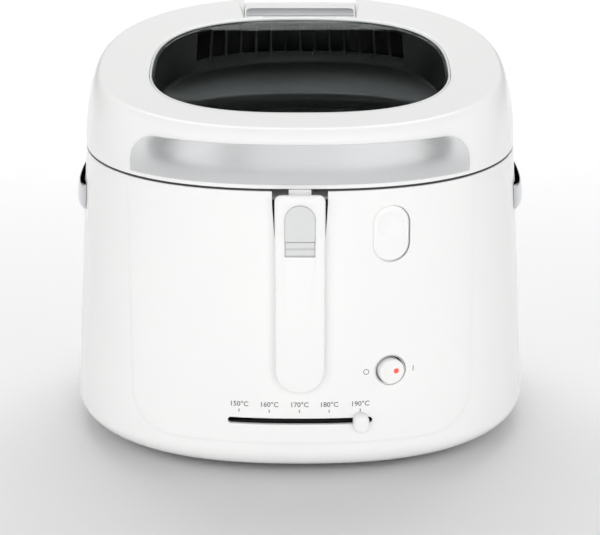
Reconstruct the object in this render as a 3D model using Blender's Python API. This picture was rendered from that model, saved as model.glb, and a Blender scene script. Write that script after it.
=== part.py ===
"""Domestic deep fryer with a viewing window, as an assembly of separate pieces.

Metres, +Z up, front towards -Y. The origin is on the ground under the middle of the object.
"""

import math

import bmesh
import bpy
from mathutils import Matrix, Vector

MM = 0.001

# ---------------------------------------------------------------- driving dimensions
GAP = 0.3 * MM  # between two pieces that touch
RUNNING = 0.3 * MM  # round a pin or a sliding piece
BODY_CENTRE_Y = -8.2 * MM  # middle of the plan outline: the hinge reaches further than the handle

FRONT_SQUARENESS = 2.4  # exponent of the rounded-square plan, front half
REAR_SQUARENESS = 2.3
RING_POINTS = 48
BOWL_POINTS = 40
BASKET_POINTS = 36
SHIELD_POINTS = 32

BODY_BOTTOM_Z = 4.0 * MM
BODY_WALL = 2.6 * MM
WIDEST_Z = 22.4 * MM
WIDEST_HALF_WIDTH = 152.1 * MM
WIDEST_FRONT = 137.4 * MM
WIDEST_REAR = 154.0 * MM
BOTTOM_ROUND_WIDTH = 33.6 * MM
SEAM_Z = 193.7 * MM
SEAM_HALF_WIDTH = 141.5 * MM
SEAM_FRONT = 133.0 * MM
SEAM_REAR = 151.8 * MM
SEAM_GAP = 0.8 * MM
BASE_FLANGE_WIDTH = 14.4 * MM
BASE_PLATE_THICKNESS = 2.3 * MM

LID_TOP_Z = SEAM_Z + 48.6 * MM  # top plane above the middle of the plan
LID_TOP_RISE = 0.10  # the top plane climbs this much for each unit towards the rear
LID_WALL = 2.8 * MM
SHOULDER_WIDTH = 10.6 * MM
SHOULDER_HEIGHT = 52.0 * MM

WINDOW_CENTRE_Y = -8.8 * MM  # from the middle of the plan
WINDOW_HALF_WIDTH = 96.8 * MM
WINDOW_FRONT = 80.0 * MM
WINDOW_REAR = 100.2 * MM
WINDOW_SQUARENESS = 2.64
WINDOW_PANE_THICKNESS = 2.5 * MM
WINDOW_PANE_SINK = 0.6 * MM
GASKET_WIDTH = 1.5 * MM

TRAY_WALL = 2.0 * MM
TRAY_FLOOR_Z = SEAM_Z + 25.3 * MM
TRAY_LIP_DROP = 6.0 * MM
TRAY_OPENING_CENTRE_Y = -22.0 * MM
TRAY_OPENING_HALF_WIDTH = 86.0 * MM
TRAY_OPENING_FRONT = 48.0 * MM
TRAY_OPENING_REAR = 46.0 * MM
INNER_PANE_THICKNESS = 2.0 * MM
GRILLE_SLOTS = 14
GRILLE_PITCH = 10.2 * MM
GRILLE_SLOT_WIDTH = 8.4 * MM
GRILLE_BOTTOM_Z = TRAY_FLOOR_Z + 6.0 * MM

INNER_LID_Z = SEAM_Z + 2.5 * MM
INNER_LID_THICKNESS = 2.0 * MM
INNER_LID_CLEARANCE = 1.2 * MM
SEAL_WIDTH = 4.0 * MM

BAND_LOW_Z = SEAM_Z + 3.4 * MM
BAND_HIGH_Z = BAND_LOW_Z + 24.0 * MM
BAND_HALF_WIDTH = 105.6 * MM
BAND_CORNER = 17.5 * MM
BAND_THICKNESS = 0.8 * MM

DECK_Z = SEAM_Z - 6.7 * MM  # upper face of the frame that carries the bowl
DECK_THICKNESS = 3.0 * MM
DECK_SKIRT = 14.0 * MM
BOWL_HALF_WIDTH = 112.0 * MM
BOWL_FRONT = 100.0 * MM
BOWL_REAR = 116.0 * MM
BOWL_TAPER = 8.0 * MM
BOWL_BOTTOM_Z = 54.0 * MM
BOWL_CORNER = 16.0 * MM
BOWL_WALL = 1.6 * MM
BOWL_FLANGE_WIDTH = 8.0 * MM
BOWL_FLANGE_THICKNESS = 1.9 * MM

BASKET_CLEARANCE = 12.0 * MM  # from the bowl wall to the basket wall
BASKET_BOTTOM_Z = BOWL_BOTTOM_Z + BASKET_CLEARANCE
BASKET_TOP_Z = DECK_Z - 29.0 * MM
BASKET_CORNER = 14.0 * MM
BASKET_WALL = 1.4 * MM
BASKET_RIM_WIRE = 2.0 * MM

SHIELD_Z = 34.0 * MM
SHIELD_HEIGHT = 7.0 * MM
SHIELD_THICKNESS = 1.0 * MM
SHIELD_HALF_WIDTH = 92.0 * MM
SHIELD_HALF_DEPTH = 84.0 * MM
SHIELD_POST_X = 58.0 * MM
SHIELD_POST_Y = 56.0 * MM
SHIELD_POST_RADIUS = 4.0 * MM
ELEMENT_RADIUS = 62.0 * MM
ELEMENT_TUBE = 3.4 * MM

FOOT_RADIUS = 10.0 * MM
FOOT_X = 84.0 * MM
FOOT_FRONT_Y = -67.0 * MM  # from the middle of the plan
FOOT_REAR_Y = 86.0 * MM
FOOT_STEM_RADIUS = 3.4 * MM
SCREW_RADIUS = 1.6 * MM
SCREW_HEAD_RADIUS = 3.2 * MM
SCREW_HEAD_HEIGHT = 1.2 * MM
SCREW_LENGTH = 12.0 * MM
BOSS_RADIUS = 4.6 * MM
BOSS_HEIGHT = 14.0 * MM

HANDLE_HALF_WIDTH = 15.5 * MM
HANDLE_TOP_Z = SEAM_Z - 1.1 * MM
HANDLE_LENGTH = 128.3 * MM
HANDLE_BOTTOM_Z = HANDLE_TOP_Z - HANDLE_LENGTH
HANDLE_STAND_OFF = 0.8 * MM  # back edge of the handle, off the front wall
HANDLE_DEPTH = 8.8 * MM
HANDLE_SKIN = 2.4 * MM
HANDLE_TOP_CORNER = 4.2 * MM
HANDLE_PIVOT_Z = HANDLE_TOP_Z - 4.4 * MM
HANDLE_PIVOT_OUT = 5.2 * MM  # pivot axis, off the front wall
HANDLE_PIN_RADIUS = 1.2 * MM
NECK_HALF_WIDTH = 6.9 * MM
NECK_KNUCKLE_RADIUS = 2.3 * MM
NOTCH_HALF_WIDTH = 17.1 * MM
NOTCH_FOOT_HALF_WIDTH = 15.3 * MM
NOTCH_BOTTOM_Z = SEAM_Z - 35.7 * MM
NOTCH_FULL_Z = SEAM_Z - 9.0 * MM
SOCKET_DEPTH = 5.0 * MM

LATCH_HALF_WIDTH = 9.2 * MM
LATCH_TOP_Z = HANDLE_TOP_Z - 6.2 * MM
LATCH_BOTTOM_Z = LATCH_TOP_Z - 22.7 * MM
LATCH_PROUD = 1.6 * MM
PAD_BOTTOM_Z = LATCH_BOTTOM_Z - 10.0 * MM

BUTTON_X = 56.5 * MM
BUTTON_Z = SEAM_Z - 29.8 * MM
BUTTON_HALF_WIDTH = 11.9 * MM
BUTTON_HALF_HEIGHT = 18.1 * MM
BUTTON_SINK = 1.2 * MM
BUTTON_THICKNESS = 4.0 * MM
BUTTON_TRAVEL = 3.0 * MM
BUTTON_STEM_RADIUS = 3.0 * MM
BUTTON_STEM_LENGTH = 9.0 * MM
GUIDE_WALL = 1.8 * MM
GUIDE_CLEARANCE = 1.6 * MM  # the flat sleeve stands off the curved wall

HOOK_THICKNESS = 2.6 * MM
HOOK_HALF_WIDTH = 5.0 * MM
HOOK_PIN_Z = BUTTON_Z - 31.9 * MM
HOOK_PIN_RADIUS = 0.8 * MM
HOOK_TOP_Z = SEAM_Z - 4.2 * MM
HOOK_NOSE = 3.2 * MM
STRIKER_THICKNESS = 2.2 * MM

SWITCH_X = 56.7 * MM
SWITCH_Z = 74.7 * MM
SWITCH_RECESS_RADIUS = 10.0 * MM
SWITCH_RECESS_DEPTH = 4.0 * MM
ROCKER_RADIUS = 8.2 * MM
ROCKER_PROUD = 4.2 * MM
ROCKER_TILT = math.radians(6.0)
LENS_RADIUS = 1.5 * MM

SLOT_HALF_LENGTH = 45.3 * MM
SLOT_Z = 42.4 * MM
SLOT_HEIGHT = 3.4 * MM
LEVER_RADIUS = 150.0 * MM
LEVER_KNOB_X = 37.6 * MM  # the knob stands at the hottest mark
LEVER_THICKNESS = 2.0 * MM
LEVER_Z = 27.0 * MM
LEVER_TAB_THICKNESS = 1.8 * MM
KNOB_HALF_WIDTH = 5.0 * MM
KNOB_HALF_HEIGHT = 6.4 * MM
KNOB_DEPTH = 7.0 * MM

GRIP_HALF_LENGTH = 40.0 * MM
GRIP_LOW_Z = SEAM_Z - 41.5 * MM
GRIP_HIGH_Z = GRIP_LOW_Z + 17.0 * MM
GRIP_PROUD = 4.8 * MM

HINGE_RADIUS = 4.8 * MM
HINGE_OUT = HINGE_RADIUS + 0.8 * MM  # hinge axis behind the rear wall
HINGE_Z = SEAM_Z - 4.2 * MM
HINGE_PIN_RADIUS = 2.0 * MM
HINGE_HALF_LENGTH = 30.0 * MM
HINGE_EAR = 10.0 * MM
HINGE_SPRING_HALF_LENGTH = 7.0 * MM
HINGE_LEAF_THICKNESS = 2.6 * MM

COVER_HALF_WIDTH = 39.2 * MM
COVER_FRONT_Y = 96.2 * MM  # from the middle of the plan
COVER_REAR_Y = 126.5 * MM
COVER_THICKNESS = 3.0 * MM
COVER_GAP = 0.4 * MM
COVER_PIN_RADIUS = 0.8 * MM
COVER_PLATE_FRONT_Y = 97.2 * MM
COVER_PLATE_REAR_Y = 112.7 * MM
COVER_PLATE_HALF_WIDTH = 38.0 * MM
COVER_PLATE_THICKNESS = 0.9 * MM
FILTER_HALF_WIDTH = 36.0 * MM
FILTER_BOTTOM_Z = TRAY_FLOOR_Z + 3.0 * MM
FILTER_HEIGHT = 20.0 * MM

GLAND_X = 62.0 * MM
GLAND_Z = 36.0 * MM
GLAND_RADIUS = 6.0 * MM
GLAND_BORE = 3.6 * MM


# ---------------------------------------------------------------- scene and materials
def clear_scene():
    for thing in list(bpy.data.objects):
        bpy.data.objects.remove(thing, do_unlink=True)


def material(name, colour, roughness=0.4, metallic=0.0, alpha=1.0):
    """Principled material, made once for each finish."""
    found = bpy.data.materials.get(name)
    if found:
        return found
    made = bpy.data.materials.new(name)
    made.use_nodes = True
    shader = made.node_tree.nodes["Principled BSDF"]
    shader.inputs["Base Color"].default_value = (*colour, 1.0)
    shader.inputs["Roughness"].default_value = roughness
    shader.inputs["Metallic"].default_value = metallic
    shader.inputs["Alpha"].default_value = alpha
    return made


def white_plastic():
    return material("white_plastic", (0.88, 0.88, 0.87), 0.25)


def grey_plastic():
    return material("grey_plastic", (0.68, 0.68, 0.68), 0.4)


def black_plastic():
    return material("black_plastic", (0.02, 0.02, 0.02), 0.35)


def bright_steel():
    return material("bright_steel", (0.75, 0.75, 0.76), 0.25, 1.0)


def brushed_steel():
    return material("brushed_steel", (0.66, 0.66, 0.67), 0.35, 1.0)


def coated_metal():
    return material("coated_metal", (0.05, 0.05, 0.055), 0.45, 0.3)


def rubber():
    return material("rubber", (0.08, 0.08, 0.08), 0.8)


def silicone():
    return material("silicone", (0.55, 0.55, 0.54), 0.6)


def clear_glass():
    return material("clear_glass", (0.9, 0.92, 0.92), 0.03, 0.0, 0.25)


def smoked_glass():
    return material("smoked_glass", (0.03, 0.035, 0.035), 0.05)


def red_lens_plastic():
    return material("red_lens_plastic", (0.9, 0.12, 0.1), 0.2)


# ---------------------------------------------------------------- mesh helpers
def add_object(name, mesh, finish, smooth=True):
    made = bpy.data.objects.new(name, mesh)
    bpy.context.scene.collection.objects.link(made)
    if finish is not None:
        mesh.materials.append(finish)
    if smooth:
        mesh.shade_smooth()
        mesh.set_sharp_from_angle(angle=math.radians(35))
    return made


def mesh_from(name, points, faces):
    """Mesh with outward faces, from plain points and faces."""
    mesh = bpy.data.meshes.new(name)
    work = bmesh.new()
    corners = [work.verts.new(point) for point in points]
    for face in faces:
        work.faces.new([corners[index] for index in face])
    bmesh.ops.recalc_face_normals(work, faces=work.faces)
    work.to_mesh(mesh)
    work.free()
    return mesh


def loft(name, rings, finish, looped=False):
    """Skin through rings of equal length: capped at both ends, or looped back to the first ring."""
    count = len(rings[0])
    points = [point for ring in rings for point in ring]
    faces = []
    spans = len(rings) if looped else len(rings) - 1
    for level in range(spans):
        low = level * count
        high = ((level + 1) % len(rings)) * count
        for step in range(count):
            after = (step + 1) % count
            faces.append((low + step, low + after, high + after, high + step))
    if not looped:
        faces.append(tuple(range(count)))
        faces.append(tuple(range((len(rings) - 1) * count, len(rings) * count)))
    return add_object(name, mesh_from(name, points, faces), finish)


def box(name, low, high, finish, bevel=0.0):
    """Box between two corners, its edges rounded by bevel."""
    (x0, y0, z0), (x1, y1, z1) = low, high
    points = [(x, y, z) for z in (z0, z1) for y in (y0, y1) for x in (x0, x1)]
    faces = [(0, 1, 3, 2), (4, 5, 7, 6), (0, 1, 5, 4), (2, 3, 7, 6), (0, 2, 6, 4), (1, 3, 7, 5)]
    made = add_object(name, mesh_from(name, points, faces), finish)
    if bevel:
        round_edges(made, bevel)
    return made


def round_edges(piece, width, segments=2):
    rounding = piece.modifiers.new("rounded edges", "BEVEL")
    rounding.width = width
    rounding.segments = segments
    rounding.limit_method = "ANGLE"
    rounding.angle_limit = math.radians(40)


def prism(name, outline, low, high, finish, place=None):
    """Outline of (u, v) points extruded from w=low to w=high, in the frame of the matrix place."""
    place = place or Matrix.Identity(4)
    rings = [[tuple(place @ Vector((u, v, w))) for u, v in outline] for w in (low, high)]
    return loft(name, rings, finish)


def disc(radius, count=24, centre=(0.0, 0.0)):
    return [
        (
            centre[0] + radius * math.cos(2 * math.pi * step / count),
            centre[1] + radius * math.sin(2 * math.pi * step / count),
        )
        for step in range(count)
    ]


def turned(name, profile, finish, place=None, count=24, looped=False):
    """Body of revolution about the w axis of place, through (radius, w) points."""
    place = place or Matrix.Identity(4)
    rings = [
        [tuple(place @ Vector((u, v, w))) for u, v in disc(radius, count)] for radius, w in profile
    ]
    return loft(name, rings, finish, looped)


def tube_along(name, points, radius, finish, closed=False, sides=2):
    """Round wire or tube along a list of points."""
    curve = bpy.data.curves.new(name, "CURVE")
    curve.dimensions = "3D"
    curve.bevel_depth = radius
    curve.bevel_resolution = sides
    curve.use_fill_caps = not closed
    spline = curve.splines.new("POLY")
    spline.points.add(len(points) - 1)
    for target, point in zip(spline.points, points):
        target.co = (*point, 1.0)
    spline.use_cyclic_u = closed
    made = bpy.data.objects.new(name, curve)
    bpy.context.scene.collection.objects.link(made)
    curve.materials.append(finish)
    return made


def helix(place, radius, low, high, turns, steps_each=10):
    """Points of a coil round the w axis of place."""
    total = int(turns * steps_each)
    points = []
    for step in range(total + 1):
        angle = 2 * math.pi * step / steps_each
        w = low + (high - low) * step / total
        points.append(tuple(place @ Vector((radius * math.cos(angle), radius * math.sin(angle), w))))
    return points


def combine(piece, other, operation):
    other.hide_render = True
    other.display_type = "WIRE"
    change = piece.modifiers.new(other.name, "BOOLEAN")
    change.operation = operation
    change.object = other
    change.solver = "EXACT"


def cut(piece, *cutters):
    for cutter in cutters:
        combine(piece, cutter, "DIFFERENCE")


def join(piece, *others):
    for other in others:
        combine(piece, other, "UNION")


def axis_x(centre):
    """Frame whose w axis runs along +X through centre."""
    return Matrix.Translation(centre) @ Matrix(((0, 0, 1, 0), (1, 0, 0, 0), (0, 1, 0, 0), (0, 0, 0, 1)))


def set_origin(piece, point):
    """Moves the object's origin to point and leaves its shape where it is."""
    piece.data.transform(Matrix.Translation(-Vector(point)))
    piece.location = point


# ---------------------------------------------------------------- the outer form
def mix(first, second, share):
    return first + (second - first) * share


def plan_ring(half_width, front, rear, height, count=RING_POINTS):
    """Rounded-square ring round the middle of the plan. height is a number or a function of y."""
    ring = []
    for step in range(count):
        angle = 2 * math.pi * step / count
        c, s = math.cos(angle), math.sin(angle)
        power = 2 / (FRONT_SQUARENESS if s < 0 else REAR_SQUARENESS)
        x = half_width * math.copysign(abs(c) ** power, c)
        y = (front if s < 0 else rear) * math.copysign(abs(s) ** power, s)
        z = height(y) if callable(height) else height
        ring.append((x, BODY_CENTRE_Y + y, z))
    return ring


def body_radii(z, inset=0.0):
    """Half width, front depth and rear depth of the tapered body at a height."""
    share = (z - WIDEST_Z) / (SEAM_Z - WIDEST_Z)
    return (
        mix(WIDEST_HALF_WIDTH, SEAM_HALF_WIDTH, share) - inset,
        mix(WIDEST_FRONT, SEAM_FRONT, share) - inset,
        mix(WIDEST_REAR, SEAM_REAR, share) - inset,
    )


def body_ring(z, inset=0.0):
    return plan_ring(*body_radii(z, inset), z)


def front_wall_y(x, z, inset=0.0):
    """Depth of the body's front face at x and z."""
    half_width, front, _ = body_radii(z, inset)
    reach = 1 - abs(x / half_width) ** FRONT_SQUARENESS
    return BODY_CENTRE_Y - front * reach ** (1 / FRONT_SQUARENESS)


def side_wall_x(y, z, inset=0.0):
    """Half width of the body at y, from the middle of the plan, and z."""
    half_width, front, rear = body_radii(z, inset)
    power = FRONT_SQUARENESS if y < 0 else REAR_SQUARENESS
    reach = 1 - abs(y / (front if y < 0 else rear)) ** power
    return half_width * reach ** (1 / power)


def front_frame(x, z):
    """Frame on the front wall: u to the right, v up along the wall, w straight out of it."""
    step = 0.5 * MM
    here = Vector((x, front_wall_y(x, z), z))
    right = (Vector((x + step, front_wall_y(x + step, z), z)) - here).normalized()
    up = (Vector((x, front_wall_y(x, z + step), z + step)) - here).normalized()
    out = right.cross(up).normalized()
    up = out.cross(right).normalized()
    frame = Matrix((right, up, out)).transposed().to_4x4()
    frame.translation = here
    return frame


def lid_top(y):
    """Height of the lid's top plane at y, from the middle of the plan."""
    return LID_TOP_Z + LID_TOP_RISE * y


def shoulder_inset(y, z, wall=0.0):
    """How far the lid's side stands in at height z."""
    top = lid_top(y) - wall
    height = min(SHOULDER_HEIGHT, top - SEAM_Z)
    share = min(1.0, max(0.0, (z - (top - height)) / height))
    return SHOULDER_WIDTH * (1 - math.sqrt(1 - share * share)) + wall


def lid_front_y(x, z):
    """Depth of the lid's front face at x and z."""
    y = -SEAM_FRONT
    for _ in range(8):
        inset = shoulder_inset(y, z)
        reach = 1 - abs(x / (SEAM_HALF_WIDTH - inset)) ** FRONT_SQUARENESS
        y = -(SEAM_FRONT - inset) * reach ** (1 / FRONT_SQUARENESS)
    return BODY_CENTRE_Y + y


def lid_ring(share, wall=0.0):
    """Ring on the lid's shoulder, share from 0 at the seam to 1 at the top plane."""
    angle = share * math.pi / 2
    inset = SHOULDER_WIDTH * (1 - math.cos(angle)) + wall

    def height(y):
        top = lid_top(y) - wall
        rise = min(SHOULDER_HEIGHT, top - SEAM_Z)
        return top - rise + rise * math.sin(angle)

    return plan_ring(SEAM_HALF_WIDTH - inset, SEAM_FRONT - inset, SEAM_REAR - inset, height)


def window_ring(offset, drop=0.0, height=None, count=RING_POINTS):
    """Ring round the window outline, grown by offset, at drop under the top plane or at a height."""
    ring = []
    for step in range(count):
        angle = 2 * math.pi * step / count
        c, s = math.cos(angle), math.sin(angle)
        power = 2 / WINDOW_SQUARENESS
        depth = (WINDOW_FRONT if s < 0 else WINDOW_REAR) + offset
        x = (WINDOW_HALF_WIDTH + offset) * math.copysign(abs(c) ** power, c)
        y = WINDOW_CENTRE_Y + depth * math.copysign(abs(s) ** power, s)
        z = lid_top(y) - drop if height is None else height
        ring.append((x, BODY_CENTRE_Y + y, z))
    return ring


def opening_ring(offset, z, count=RING_POINTS):
    """Ring round the opening in the tray's floor."""
    ring = []
    for step in range(count):
        angle = 2 * math.pi * step / count
        c, s = math.cos(angle), math.sin(angle)
        power = 2 / FRONT_SQUARENESS
        depth = (TRAY_OPENING_FRONT if s < 0 else TRAY_OPENING_REAR) + offset
        x = (TRAY_OPENING_HALF_WIDTH + offset) * math.copysign(abs(c) ** power, c)
        y = TRAY_OPENING_CENTRE_Y + depth * math.copysign(abs(s) ** power, s)
        ring.append((x, BODY_CENTRE_Y + y, z))
    return ring


# ---------------------------------------------------------------- body
def bottom_round(inset, lift, angles):
    """Rings of the quarter-ellipse round at the foot of the body."""
    rise = WIDEST_Z - BODY_BOTTOM_Z
    rings = []
    for angle in angles:
        z = BODY_BOTTOM_Z + lift + rise * (1 - math.cos(angle))
        rings.append(body_ring(z, inset + BOTTOM_ROUND_WIDTH * (1 - math.sin(angle))))
    return rings


def make_body_shell():
    top = SEAM_Z - SEAM_GAP / 2
    plate_top = BODY_BOTTOM_Z + BASE_PLATE_THICKNESS + GAP
    flange_top = plate_top + BODY_WALL
    flange_edge = BOTTOM_ROUND_WIDTH + BASE_FLANGE_WIDTH
    quarter = math.pi / 2
    outer = bottom_round(0.0, 0.0, [quarter * share for share in (1, 0.75, 0.5, 0.25, 0)])
    start = math.acos(1 - (flange_top - BODY_BOTTOM_Z - BODY_WALL) / (WIDEST_Z - BODY_BOTTOM_Z))
    inner_angles = [mix(start, quarter, share) for share in (0, 0.5, 1)]
    inner = bottom_round(BODY_WALL, BODY_WALL, inner_angles)
    rings = [body_ring(top)] + outer
    rings += [body_ring(plate_top, BOTTOM_ROUND_WIDTH)]
    rings += [body_ring(plate_top, flange_edge), body_ring(flange_top, flange_edge)]
    rings += inner + [body_ring(top, BODY_WALL)]
    shell = loft("body_shell", rings, white_plastic(), looped=True)
    join(shell, *[boss_cutter(index, place) for index, place in enumerate(screw_places())])
    cut(shell, *[screw_hole(index, place) for index, place in enumerate(screw_places())])
    cut(shell, notch_cutter(), button_hole(), switch_hole(), slot_cutter("body_slot", GAP))
    cut(shell, gland_hole())
    return shell


def screw_places():
    """The four screws stand in the base flange: right, rear, left and front."""
    inset = BOTTOM_ROUND_WIDTH + BASE_FLANGE_WIDTH / 2
    ring = body_ring(BODY_BOTTOM_Z, inset)
    return [ring[RING_POINTS * quarter // 4] for quarter in range(4)]


def boss_cutter(index, place):
    flange_top = BODY_BOTTOM_Z + BASE_PLATE_THICKNESS + GAP + BODY_WALL
    centre = Matrix.Translation((place[0], place[1], 0))
    profile = [(BOSS_RADIUS, flange_top - MM), (BOSS_RADIUS, flange_top + BOSS_HEIGHT)]
    return turned(f"boss_{index}", profile, None, centre, 12)


def screw_hole(index, place):
    centre = Matrix.Translation((place[0], place[1], 0))
    radius = SCREW_RADIUS + RUNNING
    top = BODY_BOTTOM_Z + SCREW_LENGTH + 2 * MM
    return turned(f"boss_hole_{index}", [(radius, 0.0), (radius, top)], None, centre, 12)


def notch_cutter():
    """Opening under the seam where the handle's head and neck sit, narrowing downwards."""
    top = SEAM_Z + MM
    outline = [
        (-NOTCH_FOOT_HALF_WIDTH, NOTCH_BOTTOM_Z),
        (NOTCH_FOOT_HALF_WIDTH, NOTCH_BOTTOM_Z),
        (NOTCH_HALF_WIDTH, NOTCH_FULL_Z),
        (NOTCH_HALF_WIDTH, top),
        (-NOTCH_HALF_WIDTH, top),
        (-NOTCH_HALF_WIDTH, NOTCH_FULL_Z),
    ]
    front = front_wall_y(0, WIDEST_Z) - MM
    back = front_wall_y(0, SEAM_Z) + BODY_WALL + 2 * MM
    rings = [[(x, y, z) for x, z in outline] for y in (front, back)]
    return loft("handle_notch", rings, None)


def oval(half_width, half_height, count=28):
    """Upright oval with straight sides and round ends."""
    straight = half_height - half_width
    outline = []
    for step in range(count):
        angle = 2 * math.pi * (step + 0.5) / count
        shift = straight if math.sin(angle) > 0 else -straight
        outline.append((half_width * math.cos(angle), half_width * math.sin(angle) + shift))
    return outline


def button_hole():
    frame = front_frame(BUTTON_X, BUTTON_Z)
    outline = oval(BUTTON_HALF_WIDTH, BUTTON_HALF_HEIGHT)
    return prism("button_hole", outline, -2 * BODY_WALL, 3 * BODY_WALL, None, frame)


def switch_hole():
    frame = front_frame(SWITCH_X, SWITCH_Z)
    return prism("switch_hole", disc(SWITCH_RECESS_RADIUS), -2 * BODY_WALL, 3 * BODY_WALL, None, frame)


def slot_outline(grow):
    """Long horizontal slot with round ends, in x and z."""
    radius = SLOT_HEIGHT / 2 + grow
    straight = SLOT_HALF_LENGTH - SLOT_HEIGHT / 2
    outline = []
    for step in range(12):
        angle = 2 * math.pi * (step + 0.5) / 12 - math.pi / 2
        shift = straight if math.cos(angle) > 0 else -straight
        outline.append((radius * math.cos(angle) + shift, SLOT_Z + radius * math.sin(angle)))
    return outline


def slot_cutter(name, grow):
    front = front_wall_y(0, SLOT_Z) - 3 * MM
    back = front_wall_y(SLOT_HALF_LENGTH, SLOT_Z) + 4 * BODY_WALL
    rings = [[(x, y, z) for x, z in slot_outline(grow)] for y in (front, back)]
    return loft(name, rings, None)


def gland_frame():
    """Frame on the rear wall: w straight out to the rear."""
    half_width, _, rear = body_radii(GLAND_Z)
    reach = 1 - abs(GLAND_X / half_width) ** REAR_SQUARENESS
    y = BODY_CENTRE_Y + rear * reach ** (1 / REAR_SQUARENESS)
    turn = Matrix(((-1, 0, 0, 0), (0, 0, 1, 0), (0, 1, 0, 0), (0, 0, 0, 1)))
    return Matrix.Translation((GLAND_X, y, GLAND_Z)) @ turn


def gland_hole():
    return turned(
        "gland_hole",
        [(GLAND_RADIUS + GAP, -6 * BODY_WALL), (GLAND_RADIUS + GAP, 3 * BODY_WALL)],
        None,
        gland_frame(),
    )


def make_cord_gland():
    """Bush in the rear wall that the mains lead would pass through."""
    inside = -3 * BODY_WALL
    profile = [
        (GLAND_BORE, inside),
        (GLAND_RADIUS, inside),
        (GLAND_RADIUS, 2 * BODY_WALL / 3),
        (GLAND_RADIUS - MM, BODY_WALL),
        (GLAND_BORE, BODY_WALL),
    ]
    return turned("cord_gland", profile, black_plastic(), gland_frame(), looped=True)


def make_top_frame():
    """Deck that closes the gap between the body wall and the bowl, with a skirt along the wall."""
    low = DECK_Z - DECK_THICKNESS
    skirt = DECK_Z - DECK_SKIRT
    outside = body_radii(DECK_Z, BODY_WALL + GAP)
    inside = [value - DECK_THICKNESS for value in outside]
    hole = [value + GAP * 2 for value in (BOWL_HALF_WIDTH, BOWL_FRONT, BOWL_REAR)]
    rings = [
        plan_ring(*outside, skirt),
        plan_ring(*outside, DECK_Z),
        plan_ring(*hole, DECK_Z),
        plan_ring(*hole, low),
        plan_ring(*inside, low),
        plan_ring(*inside, skirt),
    ]
    frame = loft("top_frame", rings, white_plastic(), looped=True)
    back = front_wall_y(0, SEAM_Z) + BODY_WALL + SOCKET_DEPTH + GAP
    notch = box(
        "deck_notch",
        (-NOTCH_HALF_WIDTH - 4 * MM, back - 40 * MM, skirt - MM),
        (NOTCH_HALF_WIDTH + 4 * MM, back, SEAM_Z),
        None,
    )
    place = front_frame(BUTTON_X, BUTTON_Z)
    depth = hook_depth()
    room = BUTTON_HALF_WIDTH + GUIDE_WALL + MM
    hatch = prism(
        "deck_hatch",
        [(-room, 0), (room, 0), (room, 40 * MM), (-room, 40 * MM)],
        -depth - HOOK_THICKNESS - STRIKER_THICKNESS - 7 * MM,
        5 * MM,
        None,
        place,
    )
    cut(frame, notch, hatch)
    return frame


def make_base_plate():
    inset = BOTTOM_ROUND_WIDTH + GAP
    top = BODY_BOTTOM_Z + BASE_PLATE_THICKNESS
    rings = [body_ring(z, inset) for z in (BODY_BOTTOM_Z, top)]
    plate = loft("base_plate", rings, black_plastic())
    posts = []
    for index, (x, y) in enumerate(post_places()):
        profile = [(SHIELD_POST_RADIUS, top - MM), (SHIELD_POST_RADIUS, SHIELD_Z - GAP)]
        posts.append(turned(f"post_{index}", profile, None, Matrix.Translation((x, y, 0)), 12))
    join(plate, *posts)
    cut(plate, *base_plate_holes())
    return plate


def post_places():
    sides = (-SHIELD_POST_X, SHIELD_POST_X)
    return [(x, BODY_CENTRE_Y + y) for x in sides for y in (-SHIELD_POST_Y, SHIELD_POST_Y)]


def base_plate_holes():
    """Screw holes with their countersinks, foot holes and rows of cooling slots."""
    holes = []
    top = BODY_BOTTOM_Z + BASE_PLATE_THICKNESS + MM
    for index, place in enumerate(screw_places()):
        centre = Matrix.Translation((place[0], place[1], 0))
        head_top = BODY_BOTTOM_Z + SCREW_HEAD_HEIGHT + GAP
        profile = [
            (SCREW_HEAD_RADIUS + RUNNING, 0.0),
            (SCREW_HEAD_RADIUS + RUNNING, head_top),
            (SCREW_RADIUS + RUNNING, head_top),
            (SCREW_RADIUS + RUNNING, top),
        ]
        holes.append(turned(f"plate_screw_hole_{index}", profile, None, centre, 12))
    for index, (x, y) in enumerate(foot_places()):
        radius = FOOT_STEM_RADIUS + RUNNING
        centre = Matrix.Translation((x, y, 0))
        holes.append(turned(f"foot_hole_{index}", [(radius, 0.0), (radius, top)], None, centre, 12))
    for row in range(5):
        y = BODY_CENTRE_Y + (row - 2) * 9 * MM
        low = (-30 * MM, y - 1.5 * MM, 0.0)
        holes.append(box(f"cooling_slot_{row}", low, (30 * MM, y + 1.5 * MM, top), None))
    return holes


def foot_places():
    return [
        (side * FOOT_X, BODY_CENTRE_Y + y) for y in (FOOT_FRONT_Y, FOOT_REAR_Y) for side in (-1, 1)
    ]


def make_feet():
    names = ("foot_front_left", "foot_front_right", "foot_rear_left", "foot_rear_right")
    top = BODY_BOTTOM_Z - GAP
    for name, (x, y) in zip(names, foot_places()):
        profile = [
            (FOOT_RADIUS - MM, 0.0),
            (FOOT_RADIUS, 1.2 * MM),
            (FOOT_RADIUS, top),
            (FOOT_STEM_RADIUS, top),
            (FOOT_STEM_RADIUS, BODY_BOTTOM_Z + BASE_PLATE_THICKNESS),
        ]
        turned(name, profile, rubber(), Matrix.Translation((x, y, 0)), 14)


def make_base_screws():
    names = ("base_screw_right", "base_screw_rear", "base_screw_left", "base_screw_front")
    for name, place in zip(names, screw_places()):
        low = BODY_BOTTOM_Z
        profile = [
            (SCREW_HEAD_RADIUS, low),
            (SCREW_HEAD_RADIUS, low + SCREW_HEAD_HEIGHT),
            (SCREW_RADIUS, low + SCREW_HEAD_HEIGHT),
            (SCREW_RADIUS, low + SCREW_LENGTH),
        ]
        turned(name, profile, bright_steel(), Matrix.Translation((place[0], place[1], 0)), 12)


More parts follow.
